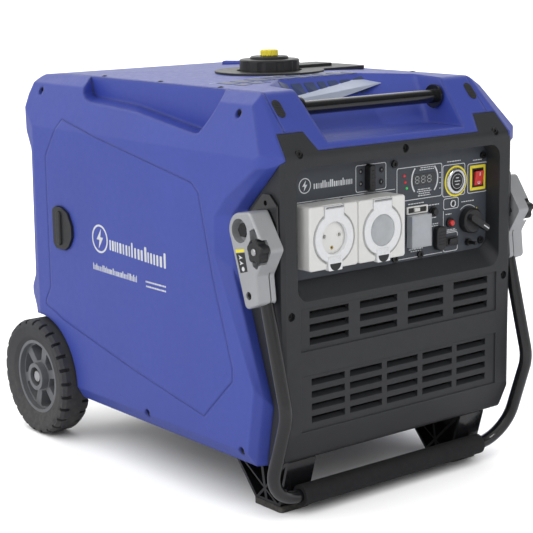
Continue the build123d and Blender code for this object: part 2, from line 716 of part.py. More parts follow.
# ---------------------------------------------------------------- control panel and what it carries
PANEL_THICK = 3.0
PANEL_BACK = PANEL_DEPTH + PANEL_THICK
ROUND_PIN = (-160, 457)       # centres given as x and height
FLAT_PIN = (-58, 457)
START = (148.8, 508.6)
SWITCH = (202.0, 509.0)
ECO = (141.0, 406.0)
DIAL = (179.0, 438.5)
RESET = (134.5, 439.0)
OVERLOAD = (94.5, 462.5)
DC_SOCKET = (107.5, 416.0)
PORT = (-51.5, 535.0)
EARTH = (177.5, 400.5)
FREE = 0.4                    # clearance round a button or rocker
SHAFT_RADIUS = 6.0
ROUND_BUTTONS = ((START, 15, 26, 2.0), (RESET, 5, 21, 1.5), (OVERLOAD, 6, 20, 1.5))
ROCKERS = ((SWITCH, 19, 25, 2.2), (ECO, 18, 11, 1.2))

with BuildPart() as control_panel:
    front_block((0, 476), 458, 200, PANEL_DEPTH, PANEL_BACK)
    for spot, radius, _, _ in ROUND_BUTTONS:
        front_rod(spot, 20, 40, radius + FREE, Mode.SUBTRACT)
    front_rod(DIAL, 20, 40, SHAFT_RADIUS + RUNNING, Mode.SUBTRACT)
    for spot, width, height, _ in ROCKERS:
        front_block(spot, width + 2 * FREE, height + 4, 20, 40, mode=Mode.SUBTRACT)
save(control_panel.part, "control_panel")

OUTLET_FACE = -OUTLET_PROUD
WELL_RADIUS = 43.0
WELL_DEPTH = 6.5
WELL_DROP = 2.0               # the well's centre below the module's
RING_RADIUS = 39.0
SOCKET_RADIUS = 26.0


def outlet(spot):
    """Weatherproof socket: a deep square shell with a well for the flap round the socket's face."""
    x, z = spot
    well = (OUTLET_FACE - 1, OUTLET_FACE + WELL_DEPTH)
    with BuildPart() as shell:
        front_block(spot, OUTLET_SIZE - 0.5, OUTLET_SIZE, OUTLET_FACE, PANEL_DEPTH, 5)
        fillet(shell.faces().sort_by(Axis.Y)[0].edges(), 3)
        front_rod((x, z - WELL_DROP), *well, WELL_RADIUS, Mode.SUBTRACT)
        front_block((x, z + 37), 42, 28, *well, mode=Mode.SUBTRACT)
        front_block((x, z - 43), 32, 24, *well, mode=Mode.SUBTRACT)
    return shell


outlet_round_pin = outlet(ROUND_PIN)
with BuildPart() as round_holes:
    for x, z in ((-15.5, 3), (15.5, 3), (0, -16)):
        front_rod((ROUND_PIN[0] + x, ROUND_PIN[1] - WELL_DROP + z), OUTLET_FACE - 2, 8, 3.2)
save(outlet_round_pin.part - round_holes.part, "outlet_round_pin")

outlet_flat_pin = outlet(FLAT_PIN)
with BuildPart() as flat_slots:
    front_rod((FLAT_PIN[0], FLAT_PIN[1] - WELL_DROP), OUTLET_FACE, 4, SOCKET_RADIUS - 2)
    for x, z, turn in ((-7, 7, 30), (7, 7, -30), (0, -8, 0)):
        with BuildSketch(front_spot(16, (FLAT_PIN[0] + x, FLAT_PIN[1] - WELL_DROP + z), turn)):
            Rectangle(2.4, 8.5)
        extrude(amount=20)
save(outlet_flat_pin.part - flat_slots.part, "outlet_flat_pin")


def flap(spot):
    """Ring-shaped flap with a hinge tab above and a latch tab below."""
    x, z = spot
    layer = (OUTLET_FACE - 1, OUTLET_FACE + WELL_DEPTH - 0.7)
    with BuildPart() as ring:
        front_rod((x, z - WELL_DROP), *layer, RING_RADIUS)
        front_block((x, z + 36), 39, 26, *layer, 2)
        front_block((x, z - 42), 28, 22, OUTLET_FACE - 3, layer[1], 2)
        front_rod((x, z - WELL_DROP), -40, 20, SOCKET_RADIUS, Mode.SUBTRACT)
    return ring.part


save(flap(ROUND_PIN), "flap_round_pin")
save(flap(FLAT_PIN), "flap_flat_pin")

BREAKER_X = (36.0, 76.0)
BREAKER_SIDE = [(PANEL_DEPTH, 411), (PANEL_DEPTH, 460), (24, 460), (24, 446), (20, 444), (20, 424), (24, 422),
                (24, 411)]
LEVER_X = (38.0, 44.0)
LEVER_AXIS = (25.0, 432.0)    # depth and height
LEVER_SIDE = [(23, 435), (19, 436), (18.2, 435), (19, 432), (23, 430)]
TEST_BUTTON = (41.0, 453.0)
TEST_SIZE = (7.0, 9.0)

with BuildPart() as breaker_body:
    prism(side(BREAKER_SIDE), side_plane(BREAKER_X[0]), BREAKER_X[1] - BREAKER_X[0])
    block((LEVER_X[0] - 0.5, LEVER_X[1] + 0.5), (19, 29), (424, 442), Mode.SUBTRACT)
    front_block(TEST_BUTTON, TEST_SIZE[0] + 2 * FREE, TEST_SIZE[1] + 2 * FREE, 20, 31, mode=Mode.SUBTRACT)
save(breaker_body.part, "breaker_body")

with BuildPart() as breaker_lever:
    prism(side(LEVER_SIDE), side_plane(LEVER_X[0]), LEVER_X[1] - LEVER_X[0])
    rod(side_spot(LEVER_X[0], LEVER_AXIS), 3, LEVER_X[1] - LEVER_X[0])
save(breaker_lever.part, "breaker_lever")

with BuildPart() as breaker_button:
    front_block(TEST_BUTTON, *TEST_SIZE, 21.5, 28, 1)
save(breaker_button.part, "breaker_button")

COVER_WALL = 1.6
COVER_X = (33.4, 78.3)
COVER_Z = (408.5, 462.5)
with BuildPart() as breaker_cover:
    block(COVER_X, (15, 28), COVER_Z)
    block((COVER_X[0] + COVER_WALL, COVER_X[1] - COVER_WALL), (15 + COVER_WALL, 40),
          (COVER_Z[0] + COVER_WALL, COVER_Z[1] - COVER_WALL), Mode.SUBTRACT)
save(breaker_cover.part, "breaker_cover")

for (spot, radius, face, rounding), name in zip(ROUND_BUTTONS, ("start_button", "reset_button", "overload_button")):
    with BuildPart() as button:
        front_rod(spot, face, PANEL_BACK + 3, radius)
        fillet(button.faces().sort_by(Axis.Y)[0].edges(), rounding)
    save(button.part, name)

for (spot, width, height, tilt), name in zip(ROCKERS, ("engine_switch", "eco_switch")):
    top, middle, low = spot[1] + height / 2, spot[1], spot[1] - height / 2
    rocker_side = [(26 - tilt, top), (25.5, middle), (26 + tilt, low), (30 + tilt, low + 2), (36, middle - 3),
                   (36, middle + 3), (30 - tilt, top - 1)]
    with BuildPart() as rocker:
        prism(side(rocker_side), side_plane(spot[0] - width / 2), width)
    save(rocker.part, name)

DIAL_REST = -31.0             # direction of the pointer at rest, anticlockwise from +X
with BuildPart() as mode_dial:
    front_rod(DIAL, 14, PANEL_DEPTH - 0.5, 22)
    chamfer(mode_dial.faces().sort_by(Axis.Y)[0].edges(), 3)
    with BuildSketch(front_spot(14, DIAL, DIAL_REST)):
        with Locations((5, 0)):
            SlotOverall(50, 11)
    extrude(amount=11)
    front_rod(DIAL, 20, PANEL_BACK + 12, SHAFT_RADIUS)
save(mode_dial.part, "mode_dial")

for spot, width, height, face, name in ((DC_SOCKET, 23, 42, 19, "dc_socket_cap"), (PORT, 13, 44, 16, "port_cap")):
    with BuildPart() as cap:
        front_block(spot, width, height, face, PANEL_DEPTH - 0.4, 0.45 * width)
        fillet(cap.faces().sort_by(Axis.Y)[0].edges(), 3)
    save(cap.part, name)

EARTH_RADIUS = 3.0
EARTH_TIP = 8.0
NUT_HEIGHT = 7.0
with BuildPart() as earth_terminal:
    front_rod(EARTH, EARTH_TIP, PANEL_DEPTH, EARTH_RADIUS)
    with BuildSketch(front_spot(PANEL_DEPTH, EARTH)):
        RegularPolygon(6.5, 6)
    extrude(amount=NUT_HEIGHT)
save(earth_terminal.part, "earth_terminal")

HEX_RADIUS = 3.2
HEX_DEPTH = 2.0
PANEL_SCREWS = [(213, 547), (6, 551), (209, 400), (65, 393.5), (7, 393.5)]
with BuildPart() as cover_screws:
    for sign in (-1, 1):
        for spot, radius in side_pockets(sign, HEAD_RADIUS, POCKET_DEPTH):
            rod(spot, radius, sign * HEAD_HEIGHT)
            with BuildSketch(spot.offset(sign * (HEAD_HEIGHT - HEX_DEPTH))):
                RegularPolygon(HEX_RADIUS, 6)
            extrude(amount=sign * 2 * HEX_DEPTH, mode=Mode.SUBTRACT)
    for spots, seat in ((FRAME_SCREWS, POCKET_DEPTH), (PANEL_SCREWS, PANEL_DEPTH)):
        for spot in spots:
            front_rod(spot, seat - HEAD_HEIGHT, seat, HEAD_RADIUS)
            with BuildSketch(front_spot(seat - HEAD_HEIGHT + HEX_DEPTH, spot)):
                RegularPolygon(HEX_RADIUS, 6)
            extrude(amount=2 * HEX_DEPTH, mode=Mode.SUBTRACT)
save(cover_screws.part, "cover_screws")

# ---------------------------------------------------------------- fuel filler
CAP_RADIUS = 53.0
CAP_SCALLOPS = 10
SCALLOP_RADIUS = 16.0
SCALLOP_DEPTH = 2.5
NECK_RADIUS = 44.0
FILLER_SPOT = (FILLER[0], FRONT + FILLER[1])

with BuildPart() as filler_surround:
    with BuildSketch(level(676)) as surround:
        with Locations(FILLER_SPOT):
            Circle(97)
        with Locations((95, FRONT + 345)):
            RectangleRounded(186, 96, 12)
    extrude(amount=13.5)
    with BuildSketch(level(676)):
        with Locations((85, FRONT + 365)):
            RectangleRounded(120, 50, 8)
    extrude(amount=18.5)
    add(outer_form, mode=Mode.SUBTRACT)
    rod(Plane((*FILLER_SPOT, 660)), 58, 60, Mode.SUBTRACT)
save(filler_surround.part, "filler_surround")

with BuildPart() as fuel_cap:
    rod(Plane((*FILLER_SPOT, 688)), CAP_RADIUS, 21)
    fillet(fuel_cap.faces().sort_by(Axis.Z)[-1].edges(), 3)
    rod(Plane((*FILLER_SPOT, 700)), 34, 14)
    chamfer(fuel_cap.faces().sort_by(Axis.Z)[-1].edges(), 2)
    with BuildSketch(level(687)):
        with Locations(FILLER_SPOT):
            with PolarLocations(CAP_RADIUS + SCALLOP_RADIUS - SCALLOP_DEPTH, CAP_SCALLOPS):
                Circle(SCALLOP_RADIUS)
    extrude(amount=19, mode=Mode.SUBTRACT)
    rod(Plane((*FILLER_SPOT, 680)), NECK_RADIUS + 1, 22, Mode.SUBTRACT)
    rod(Plane((*FILLER_SPOT, 680)), 5 + RUNNING, 60, Mode.SUBTRACT)
save(fuel_cap.part, "fuel_cap")

with BuildPart() as vent_knob:
    rod(Plane((*FILLER_SPOT, 714.2)), 15.8, 11)
    fillet(vent_knob.edges().filter_by(GeomType.CIRCLE), 2.5)
    with BuildSketch(level(710)):
        with Locations(FILLER_SPOT):
            with PolarLocations(16.6, 10):
                Circle(2)
    extrude(amount=20, mode=Mode.SUBTRACT)
    rod(Plane((*FILLER_SPOT, 703)), 5, 14)
save(vent_knob.part, "vent_knob")

# ---------------------------------------------------------------- fuel tank, engine, alternator
SHAFT = (0, 262)              # x and height of the crankshaft, which runs from front to back
SHAFT_R = 16.0

with BuildPart() as fuel_tank:
    front_block((0, 622), 360, 92, 245, 610, 24)
    fillet(fuel_tank.faces().sort_by(Axis.Y)[0].edges(), 12)
    rod(Plane((*FILLER_SPOT, 650)), NECK_RADIUS, 48)
    rod(Plane((*FILLER_SPOT, 600)), NECK_RADIUS - 4, 100, Mode.SUBTRACT)
save(fuel_tank.part, "fuel_tank")

with BuildPart() as engine_block:
    front_block(SHAFT, 230, 210, 320, 520, 30)
    front_block((-30, 390), 120, 90, 350, 490, 12)
    front_block((0, 150), 260, 40, 330, 510, 6)
    front_rod(SHAFT, 300, 540, SHAFT_R + RUNNING, Mode.SUBTRACT)
save(engine_block.part, "engine_block")

FINS = 7
with BuildPart() as cylinder_head:
    front_block((-30, 470), 90, 60, 365, 475, 8)
    for fin in range(FINS):
        front_block((-30, 440 + 10 * fin), 124, 3, 350, 490)
save(cylinder_head.part, "cylinder_head")

with BuildPart() as crankshaft:
    front_rod(SHAFT, 165, 535, SHAFT_R)
save(crankshaft.part, "crankshaft")

MAGNET_RING = (118, 130)
with BuildPart() as alternator_rotor:
    front_rod(SHAFT, 160, 262, MAGNET_RING[1])
    front_rod(SHAFT, 172, 270, MAGNET_RING[0], Mode.SUBTRACT)
    with BuildSketch(front_spot(150, SHAFT)):
        with PolarLocations(85, 12):
            Rectangle(60, 5, rotation=18)
    extrude(amount=-12)
    front_rod(SHAFT, 172, 190, 40)
    front_rod(SHAFT, 140, 200, SHAFT_R, Mode.SUBTRACT)
save(alternator_rotor.part, "alternator_rotor")

TEETH = 18
with BuildPart() as alternator_stator:
    front_rod(SHAFT, 196, 256, 78)
    with BuildSketch(front_spot(198, SHAFT)):
        with PolarLocations(92, TEETH):
            Rectangle(44, 12)
    extrude(amount=-56)
    front_rod(SHAFT, 250, 320, 60)
    front_rod(SHAFT, 190, 330, SHAFT_R + 3, Mode.SUBTRACT)
save(alternator_stator.part, "alternator_stator")

with BuildPart() as muffler:
    front_block((30, 370), 300, 120, 560, 660, 40)
    fillet(muffler.faces().sort_by(Axis.Y)[0].edges(), 10)
    front_rod(EXHAUST, 655, 722, 22)
    front_rod(EXHAUST, 650, 730, 19, Mode.SUBTRACT)
save(muffler.part, "muffler")

with BuildPart() as air_filter_box:
    front_block((165, 400), 90, 130, 330, 480, 12)
save(air_filter_box.part, "air_filter_box")

with BuildPart() as carburettor:
    rod(side_spot(34, (420, 400)), 18, 86)
    front_block((80, 393), 44, 40, 400, 440, 6)
save(carburettor.part, "carburettor")

INVERTER_FINS = 12
with BuildPart() as inverter_module:
    block((-200, 200), (60, 90), (150, 330))
    for fin in range(INVERTER_FINS):
        x = -187 + 34 * fin
        block((x - 1.5, x + 1.5), (88, 120), (155, 325))
save(inverter_module.part, "inverter_module")

with BuildPart() as battery:
    block((145, 220), (330, 480), (104, 200))
    for d in (350, 460):
        rod(Plane((182, FRONT + d, 198)), 7, 14)
save(battery.part, "battery")
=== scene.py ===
import random
from math import cos, pi, radians, sin

import bmesh
import bpy
from mathutils import Matrix, Vector


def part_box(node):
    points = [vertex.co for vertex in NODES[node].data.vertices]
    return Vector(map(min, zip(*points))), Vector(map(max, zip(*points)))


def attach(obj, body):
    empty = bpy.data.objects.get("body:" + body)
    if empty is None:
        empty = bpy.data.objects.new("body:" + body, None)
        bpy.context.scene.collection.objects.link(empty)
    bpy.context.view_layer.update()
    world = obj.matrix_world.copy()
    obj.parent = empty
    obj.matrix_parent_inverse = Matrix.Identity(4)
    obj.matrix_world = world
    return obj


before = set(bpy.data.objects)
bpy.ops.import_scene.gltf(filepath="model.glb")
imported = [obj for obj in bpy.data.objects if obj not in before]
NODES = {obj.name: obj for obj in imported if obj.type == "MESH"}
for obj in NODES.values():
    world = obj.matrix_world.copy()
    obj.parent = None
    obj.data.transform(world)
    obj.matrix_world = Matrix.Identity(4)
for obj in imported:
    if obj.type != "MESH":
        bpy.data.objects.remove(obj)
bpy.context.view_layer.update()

MM = 0.001
PANEL_DEPTH = 30                               # millimetres from the front frame's face back to the panel
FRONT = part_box("control_panel")[0].y - PANEL_DEPTH * MM


def at(x, d, z):
    """Point from millimetres across, behind the front frame's face, and above the ground."""
    return Vector((x * MM, FRONT + d * MM, z * MM))


# ---------------------------------------------------------------- materials
class Nodes:
    """Small helper that adds nodes to a material or world and links them."""

    def __init__(self, owner):
        owner.use_nodes = True
        self.tree = owner.node_tree
        self.tree.nodes.clear()

    def add(self, kind, values=None, **settings):
        """Adds a shader node; each value is a number or another node's output."""
        node = self.tree.nodes.new("ShaderNode" + kind)
        for key, value in settings.items():
            setattr(node, key, value)
        for key, value in (values or {}).items():
            if isinstance(value, bpy.types.NodeSocket):
                self.tree.links.new(value, node.inputs[key])
            else:
                node.inputs[key].default_value = value
        return node

    def noise(self, where, scale, detail=3.0, rough=0.55):
        """Cloudy value from 0 to 1."""
        node = self.add("TexNoise", {"Vector": where, "Scale": scale, "Detail": detail, "Roughness": rough})
        return node.outputs["Fac"]

    def span(self, value, low, high, to_low, to_high):
        """Maps low..high onto to_low..to_high, held at both ends."""
        node = self.add("MapRange", {"Value": value, "From Min": low, "From Max": high, "To Min": to_low,
                                     "To Max": to_high})
        return node.outputs["Result"]

    def math(self, kind, a, b):
        """Sum, product or difference of two values."""
        return self.add("Math", {0: a, 1: b}, operation=kind).outputs[0]

    def mix(self, fac, a, b):
        """Blends two colours."""
        node = self.add("Mix", data_type="RGBA")
        for socket, value in ((node.inputs[0], fac), (node.inputs[6], a), (node.inputs[7], b)):
            if isinstance(value, bpy.types.NodeSocket):
                self.tree.links.new(value, socket)
            else:
                socket.default_value = value
        return node.outputs[2]


def rgba(color):
    """The colour with full opacity."""
    return (*color, 1.0)


def scaled(color, k):
    """The colour made darker or lighter, clipped at white."""
    return tuple(min(1.0, c * k) for c in color)


DIRT_HEIGHT = 0.20                             # metres above the ground where the dust fades out
DIRT_COLOR = (0.20, 0.185, 0.16)
RUBBED_FROM, RUBBED_TO = 0.995, 0.86           # how far an edge's rounded normal has turned when it is rubbed


def finish_material(name, color, rough, metal=0.0, grain=(900, 0.00006), tone=0.08, patch=11.0, wear=0.25,
                    wear_color=None, edge=1.2, coat=0.0, dirt=0.0, brushed=None, cast=0.0):
    """Procedural finish: tone variation in patches, fine grain, uneven roughness, and rubbed edges.
    Grain is its scale and its depth in metres; edge is the rounding in millimetres; cast adds lumps."""
    mat = bpy.data.materials.new(name)
    n = Nodes(mat)
    where = n.add("TexCoord").outputs["Object"]
    broad = n.noise(where, patch, 4)
    middle = n.noise(where, 85, 5, 0.6)
    fine_at = where
    if brushed:
        fine_at = n.add("Mapping", {"Vector": where, "Scale": brushed}).outputs[0]
    fine = n.noise(fine_at, grain[0], 2)
    rounded = n.add("Bevel", {"Radius": edge * MM}, samples=4).outputs[0]
    flat = n.add("NewGeometry").outputs["Normal"]
    facing = n.add("VectorMath", {0: rounded, 1: flat}, operation="DOT_PRODUCT").outputs["Value"]
    edges = n.span(facing, RUBBED_FROM, RUBBED_TO, 0.0, 1.0)
    rubbed = n.math("MULTIPLY", edges, n.span(middle, 0.40, 0.62, 0.15, 1.0))
    dark, light = rgba(scaled(color, 1 - tone)), rgba(scaled(color, 1 + tone))
    base = n.mix(n.span(broad, 0.32, 0.68, 0.0, 1.0), dark, light)
    base = n.mix(n.span(middle, 0.35, 0.7, 0.0, 0.35), base, rgba(scaled(color, 1 - 0.6 * tone)))
    base = n.mix(n.math("MULTIPLY", rubbed, wear), base, rgba(wear_color or scaled(color, 1.7)))
    if dirt:
        low = n.add("SeparateXYZ", {0: where}).outputs["Z"]
        near_ground = n.math("MULTIPLY", n.span(low, DIRT_HEIGHT, 0.0, 0.0, dirt),
                             n.span(middle, 0.35, 0.7, 0.0, 1.0))
        base = n.mix(near_ground, base, rgba(DIRT_COLOR))
    rough_value = n.math("ADD", n.span(middle, 0.3, 0.7, rough - 0.05, rough + 0.05),
                         n.span(fine, 0.3, 0.7, -0.03, 0.03))
    height = n.math("ADD", fine, n.math("MULTIPLY", middle, cast))
    bump = n.add("Bump", {"Height": height, "Distance": grain[1], "Strength": 1.0,
                          "Normal": rounded}).outputs[0]
    shader = n.add("BsdfPrincipled", {"Base Color": base, "Roughness": rough_value, "Metallic": metal,
                                      "Normal": bump, "Coat Weight": coat, "Coat Roughness": 0.12})
    n.add("OutputMaterial", {"Surface": shader.outputs[0]})
    return mat


CLEAR_ROUGH = 0.08
GLOSS_FACING, GLOSS_GRAZING = 0.28, 1.1        # share of gloss over see-through, square on and at the rim


def clear_material(name, color):
    """Clear moulded plastic: see-through square on and glossy at its rims, with faint flow marks."""
    mat = bpy.data.materials.new(name)
    n = Nodes(mat)
    where = n.add("TexCoord").outputs["Object"]
    marks = n.noise(where, 140, 4)
    bump = n.add("Bump", {"Height": marks, "Distance": 0.00008, "Strength": 0.6}).outputs[0]
    tint = n.mix(n.span(marks, 0.3, 0.7, 0, 1), rgba(scaled(color, 0.94)), rgba(color))
    glossy = n.add("BsdfPrincipled", {"Base Color": tint, "Normal": bump,
                                      "Roughness": n.span(marks, 0.3, 0.7, CLEAR_ROUGH,
                                                          CLEAR_ROUGH + 0.08)})
    through = n.add("BsdfTransparent", {"Color": tint})
    view = n.add("LayerWeight", {"Blend": 0.25}).outputs["Facing"]
    both = n.add("MixShader", {0: n.span(view, 0.0, 1.0, GLOSS_FACING, GLOSS_GRAZING), 1: through.outputs[0],
                               2: glossy.outputs[0]})
    n.add("OutputMaterial", {"Surface": both.outputs[0]})
    return mat


def glow_material(name, color, strength):
    """Small lamp: a tinted lens with an uneven glow."""
    mat = bpy.data.materials.new(name)
    n = Nodes(mat)
    where = n.add("TexCoord").outputs["Object"]
    cloud = n.noise(where, 700, 3)
    tint = n.mix(n.span(cloud, 0.3, 0.7, 0, 1), rgba(scaled(color, 0.8)), rgba(color))
    bump = n.add("Bump", {"Height": cloud, "Distance": 0.00005}).outputs[0]
    shader = n.add("BsdfPrincipled", {"Base Color": tint, "Roughness": n.span(cloud, 0.3, 0.7, 0.15, 0.3),
                                      "Emission Color": tint, "Emission Strength": strength, "Normal": bump})
    n.add("OutputMaterial", {"Surface": shader.outputs[0]})
    return mat


BLUE = (0.047, 0.076, 0.40)
MAT = {
    "blue": finish_material("shell_blue", BLUE, 0.42, grain=(1300, 0.00005), tone=0.05, patch=5, wear=0.30,
                            wear_color=(0.12, 0.16, 0.54), edge=8.0, dirt=0.10),
    "frame": finish_material("frame_black", (0.024, 0.0255, 0.029), 0.50, grain=(1300, 0.00008), tone=0.08,
                             wear=0.35, wear_color=(0.10, 0.105, 0.112), edge=1.5, dirt=0.15),
    "panel": finish_material("panel_grey", (0.052, 0.060, 0.074), 0.55, grain=(2200, 0.00004), tone=0.06,
                             wear=0.2),
    "trim": finish_material("trim_black", (0.014, 0.0147, 0.016), 0.42, grain=(1500, 0.00005), tone=0.12,
                            wear=0.35, wear_color=(0.075, 0.075, 0.08), edge=0.9),
    "bar": finish_material("bar_black", (0.010, 0.0104, 0.0115), 0.16, grain=(1800, 0.00003), tone=0.15,
                           wear=0.3, coat=0.35, edge=0.8),
    "yellow": finish_material("knob_yellow", (0.95, 0.80, 0.05), 0.38, tone=0.05, wear=0.25, edge=0.8),
    "tank": finish_material("tank_steel", (0.10, 0.10, 0.11), 0.4, metal=0.3),
    "engine": finish_material("engine_cast", (0.30, 0.30, 0.31), 0.55, metal=0.7, grain=(600, 0.0002),
                              cast=0.8),
    "steel": finish_material("steel", (0.52, 0.52, 0.53), 0.30, metal=1.0, brushed=(0.1, 1, 1), wear=0.1),
    "copper": finish_material("copper", (0.45, 0.20, 0.09), 0.35, metal=0.9),
    "exhaust": finish_material("exhaust_steel", (0.34, 0.31, 0.28), 0.45, metal=0.9, tone=0.25),
    "cast": finish_material("cast_aluminium", (0.44, 0.45, 0.46), 0.46, metal=0.40, grain=(700, 0.00012),
                            tone=0.05, cast=0.35, wear=0.5, wear_color=(0.62, 0.63, 0.64), edge=1.2),
    "hub": finish_material("hub_black", (0.165, 0.172, 0.185), 0.48, tone=0.10, wear=0.35, edge=1.2,
                           dirt=0.3),
    "tyre": finish_material("tyre", (0.048, 0.049, 0.053), 0.72, grain=(700, 0.00022), tone=0.16, wear=0.45,
                            wear_color=(0.13, 0.13, 0.13), edge=1.6, dirt=0.4, cast=0.3),
    "bolt": finish_material("fastener", (0.014, 0.014, 0.015), 0.34, metal=0.4, wear=0.5,
                            wear_color=(0.2, 0.2, 0.2), edge=0.5),
    "rubber": finish_material("rubber", (0.018, 0.018, 0.018), 0.75, grain=(900, 0.00015), dirt=0.5),
    "grip": finish_material("grip_foam", (0.013, 0.013, 0.0145), 0.85, grain=(1100, 0.00045), tone=0.12,
                            wear=0.2),
    "white": finish_material("outlet_white", (0.84, 0.84, 0.81), 0.33, tone=0.025, wear=0.2,
                             wear_color=(0.86, 0.85, 0.8), edge=1.0, grain=(1500, 0.00003)),
    "flap": finish_material("outlet_flap", (0.88, 0.89, 0.90), 0.28, tone=0.02, wear=0.2,
                            wear_color=(0.92, 0.92, 0.92), edge=0.8, grain=(1500, 0.00003)),
    "grey": finish_material("outlet_grey", (0.42, 0.43, 0.42), 0.42, tone=0.06, wear=0.2),
    "clear": clear_material("clear_cover", (0.86, 0.88, 0.90)),
    "button_blue": finish_material("button_blue", (0.02, 0.13, 0.60), 0.35, tone=0.05),
    "red": finish_material("button_red", (0.70, 0.05, 0.045), 0.30, tone=0.08, edge=0.7, wear=0.2),
    "brass": finish_material("brass", (0.66, 0.50, 0.20), 0.32, metal=1.0, wear=0.2),
    "print": finish_material("print_white", (0.74, 0.76, 0.78), 0.45, tone=0.06, wear=0.1, edge=0.1),
    "glass": finish_material("display_glass", (0.012, 0.014, 0.017), 0.10, tone=0.1, wear=0.1, edge=0.4,
                             coat=0.5),
    "digit": finish_material("display_digits", (0.36, 0.38, 0.38), 0.35, tone=0.1, edge=0.1),
    "lamp_red": glow_material("lamp_red", (0.75, 0.03, 0.03), 0.35),
    "lamp_green": glow_material("lamp_green", (0.05, 0.60, 0.12), 0.35),
    "chrome": finish_material("chrome", (0.72, 0.73, 0.75), 0.16, metal=1.0, tone=0.04, wear=0.2, edge=0.4),
    "label": finish_material("label_pale", (0.52, 0.58, 0.72), 0.40, tone=0.08, wear=0.2, edge=0.2),
    "label_dark": finish_material("label_dark", (0.035, 0.06, 0.16), 0.40, tone=0.15, wear=0.2, edge=0.2),
    # This black colours the vent meshes and also the backing sheets painted as the shade behind the vents.
    "screen": finish_material("screen_black_and_vent_shade", (0.010, 0.010, 0.011), 0.6, tone=0.2, wear=0.3, edge=0.4),
}

LOOK = {
    "blue": "left_side_cover right_side_cover top_cover service_door",
    "frame": "front_frame rear_cover base_pan",
    "panel": "control_panel",
    "trim": "door_latch filler_surround fuel_cap air_filter_box battery lock_knob_left lock_knob_right"
            " breaker_lever start_button overload_button eco_switch mode_dial dc_socket_cap port_cap",
    "bar": "grab_bar handle_tube handle_mounts axle_brackets front_legs",
    "yellow": "vent_knob",
    "tank": "fuel_tank",
    "engine": "engine_block cylinder_head alternator_rotor",
    "steel": "crankshaft wheel_axle",
    "copper": "alternator_stator",
    "exhaust": "muffler",
    "cast": "handle_bracket_left handle_bracket_right carburettor inverter_module",
    "hub": "wheel_hub_left wheel_hub_right",
    "tyre": "tyre_left tyre_right",
    "bolt": "axle_nuts pivot_bolts clamp_screws cover_screws earth_terminal",
    "rubber": "foot_pads",
    "grip": "handle_grip",
    "white": "outlet_round_pin outlet_flat_pin",
    "flap": "flap_round_pin flap_flat_pin",
    "grey": "breaker_body",
    "clear": "breaker_cover",
    "button_blue": "breaker_button",
    "red": "reset_button engine_switch",
}
for look, names in LOOK.items():
    for name in names.split():
        for material_slot in NODES[name].material_slots:
            material_slot.material = MAT[look]


# ---------------------------------------------------------------- outlines and solids, in millimetres
def circle(u, v, radius, steps=32, start=0.0, end=360.0):
    """Circle, or the arc between two angles with both its ends."""
    whole = end - start >= 360
    count = steps if whole else steps + 1
    angles = [radians(start + (end - start) * k / steps) for k in range(count)]
    return [(u + radius * cos(a), v + radius * sin(a)) for a in angles]


def box_outline(u0, v0, u1, v1, radius=0.5, steps=4):
    """Rectangle with rounded corners."""
    corners = ((u1 - radius, v1 - radius, 0), (u0 + radius, v1 - radius, 90), (u0 + radius, v0 + radius, 180),
               (u1 - radius, v0 + radius, 270))
    return [spot for u, v, turn in corners for spot in circle(u, v, radius, steps, turn, turn + 90)]


def arc_band(u, v, inner, outer, start, end, steps=24):
    """Part of a flat ring between two angles."""
    return circle(u, v, outer, steps, start, end) + circle(u, v, inner, steps, start, end)[::-1]


def stroke(u0, v0, u1, v1, width):
    """Straight bar between two points."""
    along = Vector((u1 - u0, v1 - v0)).normalized() * (width / 2)
    return [(u0 + along.y, v0 - along.x), (u1 + along.y, v1 - along.x), (u1 - along.y, v1 + along.x),
            (u0 - along.y, v0 + along.x)]


def shrunk(outline, amount):
    """The outline drawn in by an amount."""
    turn = sum(a[0] * b[1] - b[0] * a[1] for a, b in zip(outline, outline[1:] + outline[:1]))
    side = amount if turn > 0 else -amount
    result = []
    for before, here, after in zip(outline[-1:] + outline[:-1], outline, outline[1:] + outline[:1]):
        first = (Vector(here) - Vector(before)).normalized()
        second = (Vector(after) - Vector(here)).normalized()
        across = Vector((-first.y - second.y, first.x + second.x)).normalized()
        result.append((here[0] + across.x * side, here[1] + across.y * side))
    return result


def lifted(outline, w):
    """The outline at a height above the face."""
    return [(u, v, w) for u, v in outline]


class Solid:
    """Closed shapes of one mesh, drawn on a face of the machine: u and v along the face, w out of it."""

    def __init__(self, place):
        self.place = place
        self.bm = bmesh.new()

    def skin(self, loops, closed=False):
        """Joins outlines in turn; the ends are capped, or joined to each other if closed."""
        rows = [[self.bm.verts.new(self.place(*spot)) for spot in loop] for loop in loops]
        pairs = list(zip(rows, rows[1:]))
        if closed:
            pairs.append((rows[-1], rows[0]))
        for a, b in pairs:
            for k in range(len(a)):
                j = (k + 1) % len(a)
                self.bm.faces.new((a[k], a[j], b[j], b[k]))
        if not closed:
            self.bm.faces.new(rows[0])
            self.bm.faces.new(rows[-1])

    def slab(self, outline, low, high, soft=0.08):
        """Flat piece whose top edge is softened."""
        self.skin([lifted(outline, low), lifted(outline, high - soft),
                   lifted(shrunk(outline, soft), high)])

    def hollow(self, outer, inner, low, high):
        """Flat band between two outlines of the same count."""
        self.skin([lifted(outer, low), lifted(outer, high), lifted(inner, high), lifted(inner, low)],
                  closed=True)

    def box_line(self, u0, v0, u1, v1, radius, width, low, high):
        """Flat rectangular frame, with its line inside the given corners."""
        inner = box_outline(u0 + width, v0 + width, u1 - width, v1 - width, radius - 0.5 * width)
        self.hollow(box_outline(u0, v0, u1, v1, radius), inner, low, high)

    def turned(self, u, v, profile, steps=40):
        """Ring round a centre from a closed profile of radius and w."""
        self.skin([lifted(circle(u, v, radius, steps), w) for radius, w in profile], closed=True)


SHARP = radians(35)                            # an edge that turns more than this stays crisp


